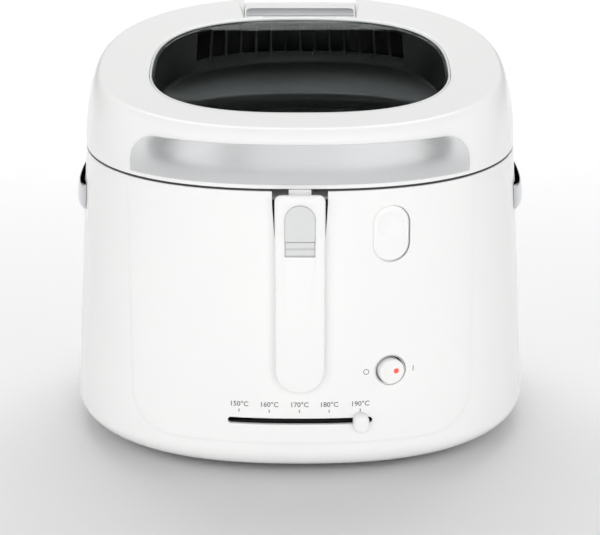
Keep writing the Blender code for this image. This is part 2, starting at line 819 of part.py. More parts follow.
# ---------------------------------------------------------------- heat and controls
def cup_rings(radii, taper, bottom, top, corner, inset, count):
    """Rings up the wall of a tapered cup, from the edge of its flat floor to its brim."""
    rings = []
    for share in (0, 0.5, 1):
        angle = share * math.pi / 2
        inward = inset + corner * (1 - math.sin(angle))
        z = bottom + corner * (1 - math.cos(angle))
        slope = taper * (1 - (z - bottom) / (top - bottom))
        rings.append(plan_ring(*[value - inward - slope for value in radii], z, count))
    rings.append(plan_ring(*[value - inset for value in radii], top, count))
    return rings


def make_bowl():
    radii = (BOWL_HALF_WIDTH, BOWL_FRONT, BOWL_REAR)
    low = DECK_Z + GAP
    top = low + BOWL_FLANGE_THICKNESS
    flange = [value + BOWL_FLANGE_WIDTH for value in radii]
    outer = cup_rings(radii, BOWL_TAPER, BOWL_BOTTOM_Z, low, BOWL_CORNER, 0.0, BOWL_POINTS)
    inner = cup_rings(radii, BOWL_TAPER, BOWL_BOTTOM_Z + BOWL_WALL, top, BOWL_CORNER, BOWL_WALL, BOWL_POINTS)
    rings = outer + [plan_ring(*flange, low, BOWL_POINTS), plan_ring(*flange, top, BOWL_POINTS)] + inner[::-1]
    return loft("bowl", rings, coated_metal())


def basket_radii():
    return [value - BASKET_CLEARANCE for value in (BOWL_HALF_WIDTH, BOWL_FRONT, BOWL_REAR)]


def make_basket():
    radii = basket_radii()
    floor = BASKET_BOTTOM_Z + BASKET_WALL
    outer = cup_rings(radii, BOWL_TAPER, BASKET_BOTTOM_Z, BASKET_TOP_Z, BASKET_CORNER, 0.0, BASKET_POINTS)
    inner = cup_rings(radii, BOWL_TAPER, floor, BASKET_TOP_Z, BASKET_CORNER, BASKET_WALL, BASKET_POINTS)
    return loft("basket", outer + inner[::-1], bright_steel())


def make_basket_rim():
    """Round wire that finishes the basket's brim."""
    z = BASKET_TOP_Z + BASKET_RIM_WIRE + GAP
    radii = [value - BASKET_WALL / 2 for value in basket_radii()]
    ring = plan_ring(*radii, z, BASKET_POINTS)
    return tube_along("basket_rim", ring, BASKET_RIM_WIRE, bright_steel(), True, 1)


def basket_front_y():
    return BODY_CENTRE_Y - BOWL_FRONT + BASKET_CLEARANCE


def make_basket_bracket():
    """Steel strap on the basket's front that climbs to the handle's neck."""
    outside = basket_front_y() - BASKET_RIM_WIRE - GAP - MM
    low, high = BASKET_TOP_Z - 30 * MM, neck_z() - GAP - 0.2 * MM
    return box(
        "basket_bracket",
        (-NECK_HALF_WIDTH, outside - 1.6 * MM, low),
        (NECK_HALF_WIDTH, outside, high),
        bright_steel(),
    )


def make_heating_element():
    """Sheathed element: nearly a full ring under the bowl, its two ends turned to the rear."""
    z = BOWL_BOTTOM_Z - GAP - ELEMENT_TUBE
    ends = 9 * MM
    opening = math.asin(ends / ELEMENT_RADIUS)
    points = [(-ends, BODY_CENTRE_Y + ELEMENT_RADIUS + 34 * MM, z)]
    steps = 30
    for step in range(steps + 1):
        angle = math.pi / 2 + opening + (2 * math.pi - 2 * opening) * step / steps
        points.append(
            (ELEMENT_RADIUS * math.cos(angle), BODY_CENTRE_Y + ELEMENT_RADIUS * math.sin(angle), z)
        )
    points.append((ends, BODY_CENTRE_Y + ELEMENT_RADIUS + 34 * MM, z))
    return tube_along("heating_element", points, ELEMENT_TUBE, bright_steel(), False, 1)


def make_heat_shield():
    """Shallow dish that keeps the heat off the base."""
    flare = 6 * MM
    top = SHIELD_Z + SHIELD_HEIGHT
    thick = SHIELD_THICKNESS
    levels = ((flare, SHIELD_Z), (0.0, top), (thick, top), (flare + thick, SHIELD_Z + thick))
    rings = []
    for inset, z in levels:
        depth = SHIELD_HALF_DEPTH - inset
        rings.append(plan_ring(SHIELD_HALF_WIDTH - inset, depth, depth, z, SHIELD_POINTS))
    return loft("heat_shield", rings, brushed_steel())


def lever_pivot():
    """Vertical axis of the temperature lever."""
    reach = math.sqrt(LEVER_RADIUS**2 - LEVER_KNOB_X**2)
    knob_y = front_wall_y(LEVER_KNOB_X, SLOT_Z) - MM
    return Vector((0, knob_y + reach, SLOT_Z))


def lever_frame():
    """Frame at the pivot: u sideways, v along the lever towards the knob, w down."""
    pivot = lever_pivot()
    turn = math.asin(LEVER_KNOB_X / LEVER_RADIUS)
    along = Vector((math.sin(turn), -math.cos(turn), 0))
    down = Vector((0, 0, -1))
    side = along.cross(down)
    frame = Matrix((side, along, down)).transposed().to_4x4()
    frame.translation = Vector((pivot.x, pivot.y, 0))
    return frame


def make_thermostat():
    """Snap thermostat under the shield, with the pin that the lever turns on."""
    pivot = lever_pivot()
    floor = BODY_BOTTOM_Z + BASE_PLATE_THICKNESS + GAP
    top = LEVER_Z - 2 * MM
    half = 17 * MM
    case = box(
        "thermostat", (-half, pivot.y - half, floor), (half, pivot.y + half, top), black_plastic(), 1.5 * MM
    )
    pin = turned(
        "thermostat_pin",
        [(3 * MM, top - MM), (3 * MM, LEVER_Z + LEVER_THICKNESS + MM)],
        None,
        Matrix.Translation((pivot.x, pivot.y, 0)),
        16,
    )
    join(case, pin)
    return case


def make_thermostat_lever():
    """Flat arm on the thermostat pin, with a riser and a tab that comes out through the slot."""
    frame = lever_frame()
    low, high = -LEVER_Z - LEVER_THICKNESS, -LEVER_Z
    bend = LEVER_RADIUS - 22 * MM
    arm = prism(
        "thermostat_lever",
        [(-3.5 * MM, 0), (3.5 * MM, 0), (3.5 * MM, bend), (-3.5 * MM, bend)],
        low,
        high,
        brushed_steel(),
        frame,
    )
    hub = prism("lever_hub", disc(7 * MM, 20), low, high, None, frame)
    tab_half = LEVER_TAB_THICKNESS / 2
    foot, back = bend - 2.5 * MM, bend - 0.5 * MM
    outline = [(-3 * MM, foot), (3 * MM, foot), (3 * MM, back), (-3 * MM, back)]
    riser = prism("lever_riser", outline, -SLOT_Z, (low + high) / 2, None, frame)
    start = bend - 1.5 * MM
    outline = [(-2.5 * MM, start), (2.5 * MM, start), (2.5 * MM, LEVER_RADIUS), (-2.5 * MM, LEVER_RADIUS)]
    tab = prism("lever_tab", outline, -SLOT_Z - tab_half, -SLOT_Z + tab_half, None, frame)
    hole = prism("lever_hole", disc(3 * MM + RUNNING, 16), low - MM, high + MM, None, frame)
    join(arm, hub, riser, tab)
    cut(arm, hole)
    return arm


def make_temperature_knob():
    """Small rounded grip on the end of the lever's tab."""
    frame = lever_frame()
    turn = Matrix(((1, 0, 0, 0), (0, 0, 1, LEVER_RADIUS + GAP), (0, -1, 0, -SLOT_Z), (0, 0, 0, 1)))
    place = frame @ turn
    rings = []
    levels = ((0.0, 0.82), (0.15, 0.95), (0.55, 1.0), (0.86, 0.86), (1.0, 0.6))
    for share, grow in levels:
        w = share * KNOB_DEPTH
        outline = oval(KNOB_HALF_WIDTH * grow, KNOB_HALF_HEIGHT * grow, 20)
        rings.append([tuple(place @ Vector((u, v, w))) for u, v in outline])
    return loft("temperature_knob", rings, white_plastic())


def make_slot_liner():
    """Dark plate behind the slot, with a slot of its own for the lever."""
    back = front_wall_y(SLOT_HALF_LENGTH + 4 * MM, SLOT_Z + 7 * MM) + BODY_WALL + GAP
    side = SLOT_HALF_LENGTH + 4 * MM
    plate = box(
        "slot_liner",
        (-side, back, SLOT_Z - 7 * MM),
        (side, back + 1.5 * MM, SLOT_Z + 7 * MM),
        black_plastic(),
    )
    cut(plate, slot_cutter("liner_slot", 0.4 * MM))
    return plate


def make_thermal_fuse():
    """Cut-out clipped under the bowl, on the shield."""
    place = axis_x((0, BODY_CENTRE_Y - 12 * MM, SHIELD_Z + SHIELD_THICKNESS + GAP + 4 * MM))
    profile = [(2.4 * MM, -11 * MM), (4 * MM, -9 * MM), (4 * MM, 9 * MM), (2.4 * MM, 11 * MM)]
    return turned("thermal_fuse", profile, bright_steel(), place, 16)


def make_terminal_block():
    floor = BODY_BOTTOM_Z + BASE_PLATE_THICKNESS + GAP
    y = BODY_CENTRE_Y + 68 * MM
    low = (GLAND_X - 34 * MM, y, floor)
    return box("terminal_block", low, (GLAND_X - 4 * MM, y + 12 * MM, floor + 14 * MM), white_plastic(), MM)


def make_switch():
    """Round switch: bezel dish, housing, tilting disc and its lens."""
    frame = front_frame(SWITCH_X, SWITCH_Z)
    outer = SWITCH_RECESS_RADIUS - GAP
    bore = ROCKER_RADIUS + 0.7 * MM
    depth = SWITCH_RECESS_DEPTH
    bezel = [
        (outer, -0.3 * MM),
        (outer - 0.5 * MM, -0.3 * MM),
        (bore, -depth + MM),
        (bore, -depth - 4 * MM),
        (outer, -depth - 4 * MM),
    ]
    turned("switch_bezel", bezel, white_plastic(), frame, 32, looped=True)
    rear = -depth - 4 * MM - GAP
    half = 9.5 * MM
    outline = [(-half, -half), (half, -half), (half, half), (-half, half)]
    prism("switch_housing", outline, rear - 14 * MM, rear, black_plastic(), frame)
    tilted = frame @ rocker_turn()
    low = -depth - 2 * MM
    disc_profile = [
        (ROCKER_RADIUS - MM, low),
        (ROCKER_RADIUS, low + MM),
        (ROCKER_RADIUS, ROCKER_PROUD - 1.4 * MM),
        (ROCKER_RADIUS - 0.5 * MM, ROCKER_PROUD - 0.4 * MM),
        (ROCKER_RADIUS - 1.6 * MM, ROCKER_PROUD),
    ]
    rocker = turned("power_rocker", disc_profile, white_plastic(), tilted, 32)
    lens_frame = tilted @ Matrix.Translation((2.6 * MM, 0.4 * MM, 0))
    pocket = turned(
        "lens_pocket",
        [(LENS_RADIUS + RUNNING, ROCKER_PROUD - 2 * MM), (LENS_RADIUS + RUNNING, ROCKER_PROUD + MM)],
        None,
        lens_frame,
        16,
    )
    cut(rocker, pocket)
    face = ROCKER_PROUD
    lens = [(LENS_RADIUS, face - 1.7 * MM), (LENS_RADIUS, face), (LENS_RADIUS * 0.6, face + 0.3 * MM)]
    turned("switch_lens", lens, red_lens_plastic(), lens_frame, 16)


def rocker_turn():
    """The disc rests tilted, its right side pressed in."""
    return Matrix.Rotation(ROCKER_TILT, 4, "Y")


# ---------------------------------------------------------------- lid release
def hook_depth():
    """Distance from the front wall to the latch hook's face."""
    return BUTTON_SINK + BUTTON_THICKNESS + BUTTON_STEM_LENGTH + GAP


def make_lid_button():
    frame = front_frame(BUTTON_X, BUTTON_Z)
    width, height = BUTTON_HALF_WIDTH - RUNNING, BUTTON_HALF_HEIGHT - RUNNING
    face = -BUTTON_SINK
    rings = []
    levels = ((face - BUTTON_THICKNESS, 0.0), (face - 0.6 * MM, 0.0), (face, 0.6 * MM))
    for w, inset in levels:
        outline = oval(width - inset, height - inset)
        rings.append([tuple(frame @ Vector((u, v, w))) for u, v in outline])
    button = loft("lid_button", rings, white_plastic())
    stem = turned(
        "button_stem",
        [
            (BUTTON_STEM_RADIUS, face - BUTTON_THICKNESS - BUTTON_STEM_LENGTH),
            (BUTTON_STEM_RADIUS, face - BUTTON_THICKNESS + MM),
        ],
        None,
        frame,
        16,
    )
    dimple = turned(
        "button_dimple",
        [
            (0.4 * MM, face - 0.9 * MM),
            (5.5 * MM, face - 0.6 * MM),
            (9 * MM, face + 0.2 * MM),
            (9 * MM, face + MM),
        ],
        None,
        frame @ Matrix.Translation((0, 5.5 * MM, 0)),
        20,
    )
    join(button, stem)
    cut(button, dimple)
    return button


def make_button_guide():
    """Sleeve behind the wall in which the button slides, with a floor for its spring."""
    frame = front_frame(BUTTON_X, BUTTON_Z)
    front = -BODY_WALL - GUIDE_CLEARANCE
    back = -BUTTON_SINK - BUTTON_THICKNESS - BUTTON_TRAVEL - 4 * MM
    outer = oval(BUTTON_HALF_WIDTH + GUIDE_WALL, BUTTON_HALF_HEIGHT + GUIDE_WALL)
    guide = prism("button_guide", outer, back - GUIDE_WALL, front, white_plastic(), frame)
    pocket = prism("guide_pocket", oval(BUTTON_HALF_WIDTH, BUTTON_HALF_HEIGHT), back, MM, None, frame)
    bore = disc(BUTTON_STEM_RADIUS + RUNNING, 16)
    hole = prism("guide_hole", bore, back - 2 * GUIDE_WALL, back + MM, None, frame)
    cut(guide, pocket, hole)
    return guide


def make_button_spring():
    """Return spring round the stem, drawn at the length it has with the button pressed."""
    frame = front_frame(BUTTON_X, BUTTON_Z)
    wire = 0.4 * MM
    back = -BUTTON_SINK - BUTTON_THICKNESS - BUTTON_TRAVEL - 4 * MM
    points = helix(frame, BUTTON_STEM_RADIUS + 1.6 * MM, back + wire + GAP, back + 3.2 * MM, 3)
    return tube_along("button_spring", points, wire, bright_steel(), False, 0)


def hook_place():
    """Frame on the hook's pin: u along the pin, v up, w out towards the front wall."""
    frame = front_frame(BUTTON_X, BUTTON_Z)
    rise = HOOK_PIN_Z - BUTTON_Z
    return frame @ Matrix.Translation((0, rise, -hook_depth() - HOOK_THICKNESS / 2))


def across(place, name, outline, start, end, finish):
    """Outline of (v, w) points extruded from u=start to u=end of a frame."""
    rings = [[tuple(place @ Vector((u, v, w))) for v, w in outline] for u in (start, end)]
    return loft(name, rings, finish)


def make_latch_hook():
    """Upright hook on a low pin: the button pushes it in, and its nose swings clear of the striker."""
    place = hook_place()
    half = HOOK_HALF_WIDTH
    thick = HOOK_THICKNESS / 2
    high = HOOK_TOP_Z - HOOK_PIN_Z
    outline = [
        (-5 * MM, thick),
        (high - 5 * MM, thick),
        (high - 5 * MM, thick + HOOK_NOSE),
        (high - 3.2 * MM, thick + HOOK_NOSE),
        (high, thick),
        (high, -thick),
        (-5 * MM, -thick),
    ]
    hook = across(place, "latch_hook", outline, -half, half, grey_plastic())
    bore = across(place, "hook_bore", disc(HOOK_PIN_RADIUS + RUNNING / 2, 12), -half - MM, half + MM, None)
    cut(hook, bore)
    return hook


def make_latch_pin():
    reach = HOOK_HALF_WIDTH + 2.4 * MM
    return across(hook_place(), "latch_pin", disc(HOOK_PIN_RADIUS, 12), -reach, reach, bright_steel())


def make_latch_bracket():
    """Two ears that carry the hook's pin, joined by a web against the front wall."""
    place = hook_place()
    inner = HOOK_HALF_WIDTH + RUNNING
    reach = inner + 3 * MM
    wall = hook_depth() + HOOK_THICKNESS / 2 - BODY_WALL - GUIDE_CLEARANCE
    ear = [(-5 * MM, -2.4 * MM), (5 * MM, -2.4 * MM), (5 * MM, wall - 0.5 * MM), (-5 * MM, wall - 0.5 * MM)]
    web = [(-4 * MM, wall - 2.4 * MM), (4 * MM, wall - 2.4 * MM), (4 * MM, wall), (-4 * MM, wall)]
    bracket = across(place, "latch_bracket", ear, -reach, -inner, grey_plastic())
    second = across(place, "latch_second_ear", ear, inner, reach, None)
    bridge = across(place, "latch_bridge", web, MM - reach, reach - MM, None)
    eye = disc(HOOK_PIN_RADIUS + RUNNING / 2, 12)
    bore = across(place, "bracket_bore", eye, -reach - MM, reach + MM, None)
    join(bracket, second, bridge)
    cut(bracket, bore)
    return bracket


# ---------------------------------------------------------------- handle and neck
def handle_place():
    """Frame on the front wall under the seam: u to the right, v up along the wall, w out."""
    return front_frame(0.0, HANDLE_PIVOT_Z)


def handle_pivot():
    return handle_place() @ Vector((0, 0, HANDLE_PIVOT_OUT))


def handle_outline(inset=0.0, count=9):
    """Outline of the handle: round foot, small rounded top corners, in u and v of its frame."""
    half = HANDLE_HALF_WIDTH - inset
    top = HANDLE_TOP_Z - HANDLE_PIVOT_Z - inset
    foot = HANDLE_BOTTOM_Z - HANDLE_PIVOT_Z + inset
    corner = HANDLE_TOP_CORNER - inset / 2
    outline = []
    for step in range(count):
        angle = math.pi + math.pi * step / (count - 1)
        outline.append((half * math.cos(angle), foot + half + half * math.sin(angle)))
    for side, start in ((1, 0.0), (-1, math.pi / 2)):
        for step in range(4):
            angle = start + math.pi / 2 * step / 3
            centre = (side * (half - corner), top - corner)
            outline.append((centre[0] + corner * math.cos(angle), centre[1] + corner * math.sin(angle)))
    return outline


def make_handle_shell():
    """Hollow handle, open at the back, with a window for its sliding latch."""
    place = handle_place()
    back, front = HANDLE_STAND_OFF, HANDLE_STAND_OFF + HANDLE_DEPTH
    levels = ((back, 0.0), (front - 1.6 * MM, 0.0), (front - 0.5 * MM, 0.5 * MM), (front, 1.6 * MM))
    rings = []
    for w, inset in levels:
        rings.append([tuple(place @ Vector((u, v, w))) for u, v in handle_outline(inset)])
    shell = loft("handle_shell", rings, white_plastic())
    hollow = prism(
        "handle_hollow", handle_outline(HANDLE_SKIN), back - MM, front - HANDLE_SKIN, None, place
    )
    room = NECK_HALF_WIDTH + RUNNING
    cheek = HANDLE_HALF_WIDTH - MM
    block = [(-cheek, -6 * MM), (cheek, -6 * MM), (cheek, 3.2 * MM), (-cheek, 3.2 * MM)]
    cheeks = prism("handle_cheeks", block, back + MM, front - MM, None, place)
    top = HANDLE_TOP_Z - HANDLE_PIVOT_Z + MM
    outline = [(-room, -7 * MM), (room, -7 * MM), (room, top), (-room, top)]
    slot = prism("handle_neck_slot", outline, back - MM, front - HANDLE_SKIN + RUNNING, None, place)
    radius = HANDLE_PIN_RADIUS + RUNNING
    bore = turned("handle_bore", [(radius, -cheek), (radius, cheek)], None, axis_x(handle_pivot()), 12)
    window = prism("latch_window", latch_window_outline(), front - 2 * HANDLE_SKIN, front + MM, None, place)
    cut(shell, hollow)
    join(shell, cheeks)
    cut(shell, slot, bore, window)
    return shell


def arch_outline(half_width, top, bottom, count=9):
    """Square foot and round head."""
    outline = [(-half_width, bottom), (half_width, bottom)]
    for step in range(count):
        angle = math.pi * step / (count - 1)
        outline.append((half_width * math.cos(angle), top - half_width + half_width * math.sin(angle)))
    return outline


def latch_window_outline():
    """Opening in the handle's face: the latch, its travel and the ribbed pad under it."""
    top = LATCH_TOP_Z - HANDLE_PIVOT_Z + RUNNING
    bottom = PAD_BOTTOM_Z - HANDLE_PIVOT_Z - RUNNING
    return arch_outline(LATCH_HALF_WIDTH + RUNNING, top, bottom)


def make_handle_latch():
    """Sliding catch on the handle's face, drawn down with the thumb to fold the handle."""
    place = handle_place()
    front = HANDLE_STAND_OFF + HANDLE_DEPTH
    top, bottom = LATCH_TOP_Z - HANDLE_PIVOT_Z, LATCH_BOTTOM_Z - HANDLE_PIVOT_Z
    rings = []
    face = front + LATCH_PROUD
    for w, inset in ((front - 1.4 * MM, 0.0), (face - 0.5 * MM, 0.0), (face, 0.6 * MM)):
        outline = arch_outline(LATCH_HALF_WIDTH - inset, top - inset, bottom + inset)
        rings.append([tuple(place @ Vector((u, v, w))) for u, v in outline])
    return loft("handle_latch", rings, grey_plastic())


def make_handle_pad():
    """Ribbed pad in the lower part of the latch's window, sunk so that the latch slides over it."""
    place = handle_place()
    front = HANDLE_STAND_OFF + HANDLE_DEPTH
    top, bottom = LATCH_TOP_Z - HANDLE_PIVOT_Z, PAD_BOTTOM_Z - HANDLE_PIVOT_Z
    pad = prism(
        "handle_pad",
        arch_outline(LATCH_HALF_WIDTH, top, bottom),
        front - HANDLE_SKIN,
        front - 1.4 * MM - RUNNING,
        grey_plastic(),
        place,
    )
    return pad


def make_latch_spring():
    """Spring behind the latch, inside the handle."""
    centre = handle_place() @ Vector((0, -34 * MM, HANDLE_STAND_OFF + 3.2 * MM))
    lengthwise = Matrix.Translation(centre) @ Matrix.Rotation(0, 4, "X")
    points = helix(lengthwise, 1.8 * MM, -7 * MM, 7 * MM, 5, 8)
    return tube_along("handle_latch_spring", points, 0.3 * MM, bright_steel(), False, 0)


def make_handle_pin():
    pivot = handle_pivot()
    reach = HANDLE_HALF_WIDTH - 1.6 * MM
    profile = [(HANDLE_PIN_RADIUS, -reach), (HANDLE_PIN_RADIUS, reach)]
    return turned("handle_pin", profile, bright_steel(), axis_x(pivot), 12)


def neck_z():
    """Under side of the neck where it crosses the bowl's rim."""
    return DECK_Z + 2 * GAP + BOWL_FLANGE_THICKNESS


def make_handle_neck():
    """Arm from the handle's pin, through the notch and over the bowl's rim, to the basket's strap."""
    pivot = handle_pivot()
    half = NECK_HALF_WIDTH
    wall = front_wall_y(0, SEAM_Z)
    inside = basket_front_y() - BASKET_RIM_WIRE - GAP - MM
    low, high = neck_z(), SEAM_Z - SEAM_GAP / 2
    outline = [
        (pivot.y, pivot.z - NECK_KNUCKLE_RADIUS),
        (wall + 2.8 * MM, pivot.z - NECK_KNUCKLE_RADIUS),
        (wall + 4.0 * MM, low),
        (inside + 2 * MM, low),
        (inside + 2 * MM, high),
        (wall + 1.8 * MM, high),
        (wall + MM, pivot.z + 1.4 * MM),
        (pivot.y, pivot.z + 1.4 * MM),
    ]
    rings = [[(x, y, z) for y, z in outline] for x in (-half, half)]
    neck = loft("handle_neck", rings, white_plastic())
    knuckle = turned(
        "neck_knuckle",
        [(NECK_KNUCKLE_RADIUS, -half), (NECK_KNUCKLE_RADIUS, half)],
        None,
        axis_x(pivot),
        20,
    )
    bore = turned(
        "neck_bore",
        [(HANDLE_PIN_RADIUS + RUNNING, -half - MM), (HANDLE_PIN_RADIUS + RUNNING, half + MM)],
        None,
        axis_x(pivot),
        12,
    )
    join(neck, knuckle)
    cut(neck, bore)
    return neck


def make_handle_socket():
    """Dark plate behind the notch, so that the body is closed behind the handle's head."""
    wall = front_wall_y(0, SEAM_Z) + BODY_WALL
    half = NOTCH_HALF_WIDTH + 3.4 * MM
    back = wall + SOCKET_DEPTH
    return box(
        "handle_socket",
        (-half, back - 1.6 * MM, NOTCH_BOTTOM_Z - 4 * MM),
        (half, back, DECK_Z - DECK_THICKNESS + 1.5 * MM),
        black_plastic(),
    )


# ---------------------------------------------------------------- trim and grips
def make_side_grips():
    """Bright carrying grips along both sides, chamfered above and below."""
    span = GRIP_HIGH_Z - GRIP_LOW_Z
    profile = ((0.0, 0.0), (0.08, 0.72), (0.28, 1.0), (0.72, 1.0), (0.92, 0.72), (1.0, 0.0))
    for name, side in (("side_grip_left", -1), ("side_grip_right", 1)):
        rings = []
        for step in range(13):
            along = -1 + 2 * step / 12
            y = along * GRIP_HALF_LENGTH
            swell = (1 - abs(along) ** 6) * 0.75 + 0.25
            ring = []
            for share, proud in profile:
                z = GRIP_LOW_Z + share * span
                x = side_wall_x(y, z) + GAP + GRIP_PROUD * proud * swell
                ring.append((side * x, BODY_CENTRE_Y + y, z))
            rings.append(ring)
        loft(name, rings, bright_steel())


def make_lid_trim_band():
    """Metal band that wraps the lid's front, with large round upper corners."""
    columns = []
    steps = 28
    for step in range(steps + 1):
        x = BAND_HALF_WIDTH * math.sin(math.pi / 2 * (-1 + 2 * step / steps))
        into_corner = max(0.0, abs(x) - (BAND_HALF_WIDTH - BAND_CORNER))
        fall = BAND_CORNER - math.sqrt(max(0.0, BAND_CORNER**2 - into_corner**2))
        columns.append((x, BAND_HIGH_Z - fall))
    rows = 3
    rings = []
    for x, high in columns:
        front, back = [], []
        for row in range(rows + 1):
            z = mix(BAND_LOW_Z, high, row / rows)
            y = lid_front_y(x, z)
            turn = math.atan2(abs(x), -(y - BODY_CENTRE_Y))
            slope = math.cos(turn)
            back.append((x, y - GAP / slope, z))
            front.append((x, y - (GAP + BAND_THICKNESS) / slope, z))
        rings.append(front + back[::-1])
    return loft("lid_trim_band", rings, brushed_steel())


# ---------------------------------------------------------------- lid
def make_lid_shell():
    low = SEAM_Z + SEAM_GAP / 2
    opening = GASKET_WIDTH + GAP
    seam = [SEAM_HALF_WIDTH, SEAM_FRONT, SEAM_REAR]
    rings = [plan_ring(*seam, low)]
    rings += [lid_ring(share) for share in (0.2, 0.38, 0.56, 0.72, 0.86, 1.0)]
    rings += [window_ring(opening), window_ring(opening, LID_WALL)]
    rings += [lid_ring(1.0, LID_WALL), lid_ring(0.6, LID_WALL)]
    rings += [plan_ring(*[value - LID_WALL for value in seam], low)]
    shell = loft("lid_shell", rings, white_plastic(), looped=True)
    cut(shell, cover_cutter(), cover_pin_bore())
    return shell


def make_window_gasket():
    """Slim ring that holds the pane in the lid."""
    outer, inner = GASKET_WIDTH, GAP
    rings = [
        window_ring(outer, 0.3 * MM),
        window_ring(inner, 0.3 * MM),
        window_ring(inner, LID_WALL),
        window_ring(outer, LID_WALL),
    ]
    return loft("window_gasket", rings, silicone(), looped=True)


def make_window_pane():
    top = WINDOW_PANE_SINK
    rings = [window_ring(0.0, top + WINDOW_PANE_THICKNESS), window_ring(0.0, top)]
    return loft("window_pane", rings, clear_glass())


def make_window_tray():
    """Black tray under the pane: its rear wall is the steam grille, its floor holds the inner pane."""
    rim = WINDOW_PANE_SINK + WINDOW_PANE_THICKNESS + GAP
    under = TRAY_FLOOR_Z - TRAY_WALL
    lip = TRAY_FLOOR_Z - TRAY_LIP_DROP
    rings = [
        window_ring(3.5 * MM, rim),
        window_ring(-2 * MM, rim),
        window_ring(-6 * MM, height=TRAY_FLOOR_Z),
        opening_ring(0.0, TRAY_FLOOR_Z),
        opening_ring(0.0, lip),
        opening_ring(TRAY_WALL, lip),
        opening_ring(TRAY_WALL, under),
        window_ring(-6 * MM + TRAY_WALL, height=under),
        window_ring(-2 * MM + TRAY_WALL, rim + TRAY_WALL),
        window_ring(3.5 * MM, rim + TRAY_WALL),
    ]
    tray = loft("window_tray", rings, black_plastic(), looped=True)
    cut(tray, grille_cutter())
    return tray


def grille_cutter():
    """Row of upright slots through the tray's rear wall."""
    points, faces = [], []
    half = GRILLE_SLOT_WIDTH / 2
    rear = WINDOW_CENTRE_Y + WINDOW_REAR
    for slot in range(GRILLE_SLOTS):
        x = (slot - (GRILLE_SLOTS - 1) / 2) * GRILLE_PITCH
        reach = 1 - (abs(x) / WINDOW_HALF_WIDTH) ** WINDOW_SQUARENESS
        y = WINDOW_CENTRE_Y + WINDOW_REAR * reach ** (1 / WINDOW_SQUARENESS)
        y0, y1 = BODY_CENTRE_Y + y - 16 * MM, BODY_CENTRE_Y + rear + 12 * MM
        z0, z1 = GRILLE_BOTTOM_Z, lid_top(y - 6 * MM) - 7 * MM
        first = len(points)
        points += [(px, py, pz) for pz in (z0, z1) for py in (y0, y1) for px in (x - half, x + half)]
        for face in ((0, 1, 3, 2), (4, 5, 7, 6), (0, 1, 5, 4), (2, 3, 7, 6), (0, 2, 6, 4), (1, 3, 7, 5)):
            faces.append(tuple(first + index for index in face))
    return add_object("grille_slots", mesh_from("grille_slots", points, faces), None)


def make_inner_pane():
    """Smoked pane in the tray's floor."""
    lip = TRAY_FLOOR_Z - TRAY_LIP_DROP
    rings = [opening_ring(-GAP, lip + z) for z in (0.0, INNER_PANE_THICKNESS)]
    return loft("inner_pane", rings, smoked_glass())


def make_inner_lid():
    """Plate over the bowl, inside the lid, with the steam opening in its middle."""
    outside = [value - LID_WALL - INNER_LID_CLEARANCE for value in (SEAM_HALF_WIDTH, SEAM_FRONT, SEAM_REAR)]
    low, high = INNER_LID_Z, INNER_LID_Z + INNER_LID_THICKNESS
    collar = 9 * MM
    rings = [
        plan_ring(*outside, low),
        plan_ring(*outside, high),
        opening_ring(4 * MM, high),
        opening_ring(4 * MM, high + collar),
        opening_ring(4 * MM - 1.5 * MM, high + collar),
        opening_ring(4 * MM - 1.5 * MM, low),
    ]
    plate = loft("inner_lid", rings, brushed_steel(), looped=True)
    vent = box(
        "rear_vent",
        (-30 * MM, BODY_CENTRE_Y + 60 * MM, low - MM),
        (30 * MM, BODY_CENTRE_Y + 84 * MM, high + MM),
        None,
    )
    cut(plate, vent)
    return plate


def make_lid_seal():
    """Soft ring that closes on the bowl's rim, open at the front for the neck."""
    middle = [value + BOWL_FLANGE_WIDTH / 2 for value in (BOWL_HALF_WIDTH, BOWL_FRONT, BOWL_REAR)]
    outer = [value + SEAL_WIDTH / 2 for value in middle]
    inner = [value - SEAL_WIDTH / 2 for value in middle]
    low = DECK_Z + 2 * GAP + BOWL_FLANGE_THICKNESS
    high = INNER_LID_Z - GAP
    rings = [
        plan_ring(*outer, low, BOWL_POINTS),
        plan_ring(*outer, high, BOWL_POINTS),
        plan_ring(*inner, high, BOWL_POINTS),
        plan_ring(*inner, low, BOWL_POINTS),
    ]
    seal = loft("lid_seal", rings, silicone(), looped=True)
    room = NECK_HALF_WIDTH + MM
    notch = box(
        "seal_notch",
        (-room, BODY_CENTRE_Y - BOWL_FRONT - 20 * MM, low - MM),
        (room, BODY_CENTRE_Y - BOWL_FRONT + 10 * MM, SEAM_Z + SEAM_GAP / 2),
        None,
    )
    cut(seal, notch)
    return seal


def make_lid_striker():
    """Tongue under the lid's front that the latch hook holds."""
    near = HOOK_THICKNESS / 2 + HOOK_NOSE + RUNNING
    far = near + STRIKER_THICKNESS
    half = HOOK_HALF_WIDTH - 0.5 * MM
    bottom = HOOK_TOP_Z - HOOK_PIN_Z - 5 * MM
    top = INNER_LID_Z - 2 * GAP - HOOK_PIN_Z
    outline = [(bottom, near), (top, near), (top, far), (bottom, far)]
    return across(hook_place(), "lid_striker", outline, -half, half, grey_plastic())


def make_filter_cartridge():
    """Metal cassette that holds the filter, under its cover."""
    front, rear = COVER_FRONT_Y + 2 * MM, COVER_REAR_Y - 3 * MM
    low = (-FILTER_HALF_WIDTH, BODY_CENTRE_Y + front, FILTER_BOTTOM_Z)
    high = (FILTER_HALF_WIDTH, BODY_CENTRE_Y + rear, FILTER_BOTTOM_Z + FILTER_HEIGHT)
    return box("filter_cartridge", low, high, bright_steel(), 2 * MM)


def cover_pivot():
    """Axis of the filter cover, inside its round rear edge."""
    y = COVER_REAR_Y - COVER_THICKNESS / 2
    return Vector((0, BODY_CENTRE_Y + y, lid_top(y) - COVER_THICKNESS / 2))


def tilted(x, y, drop):
    """Point at drop under the lid's top plane."""
    return (x, BODY_CENTRE_Y + y, lid_top(y) - drop)


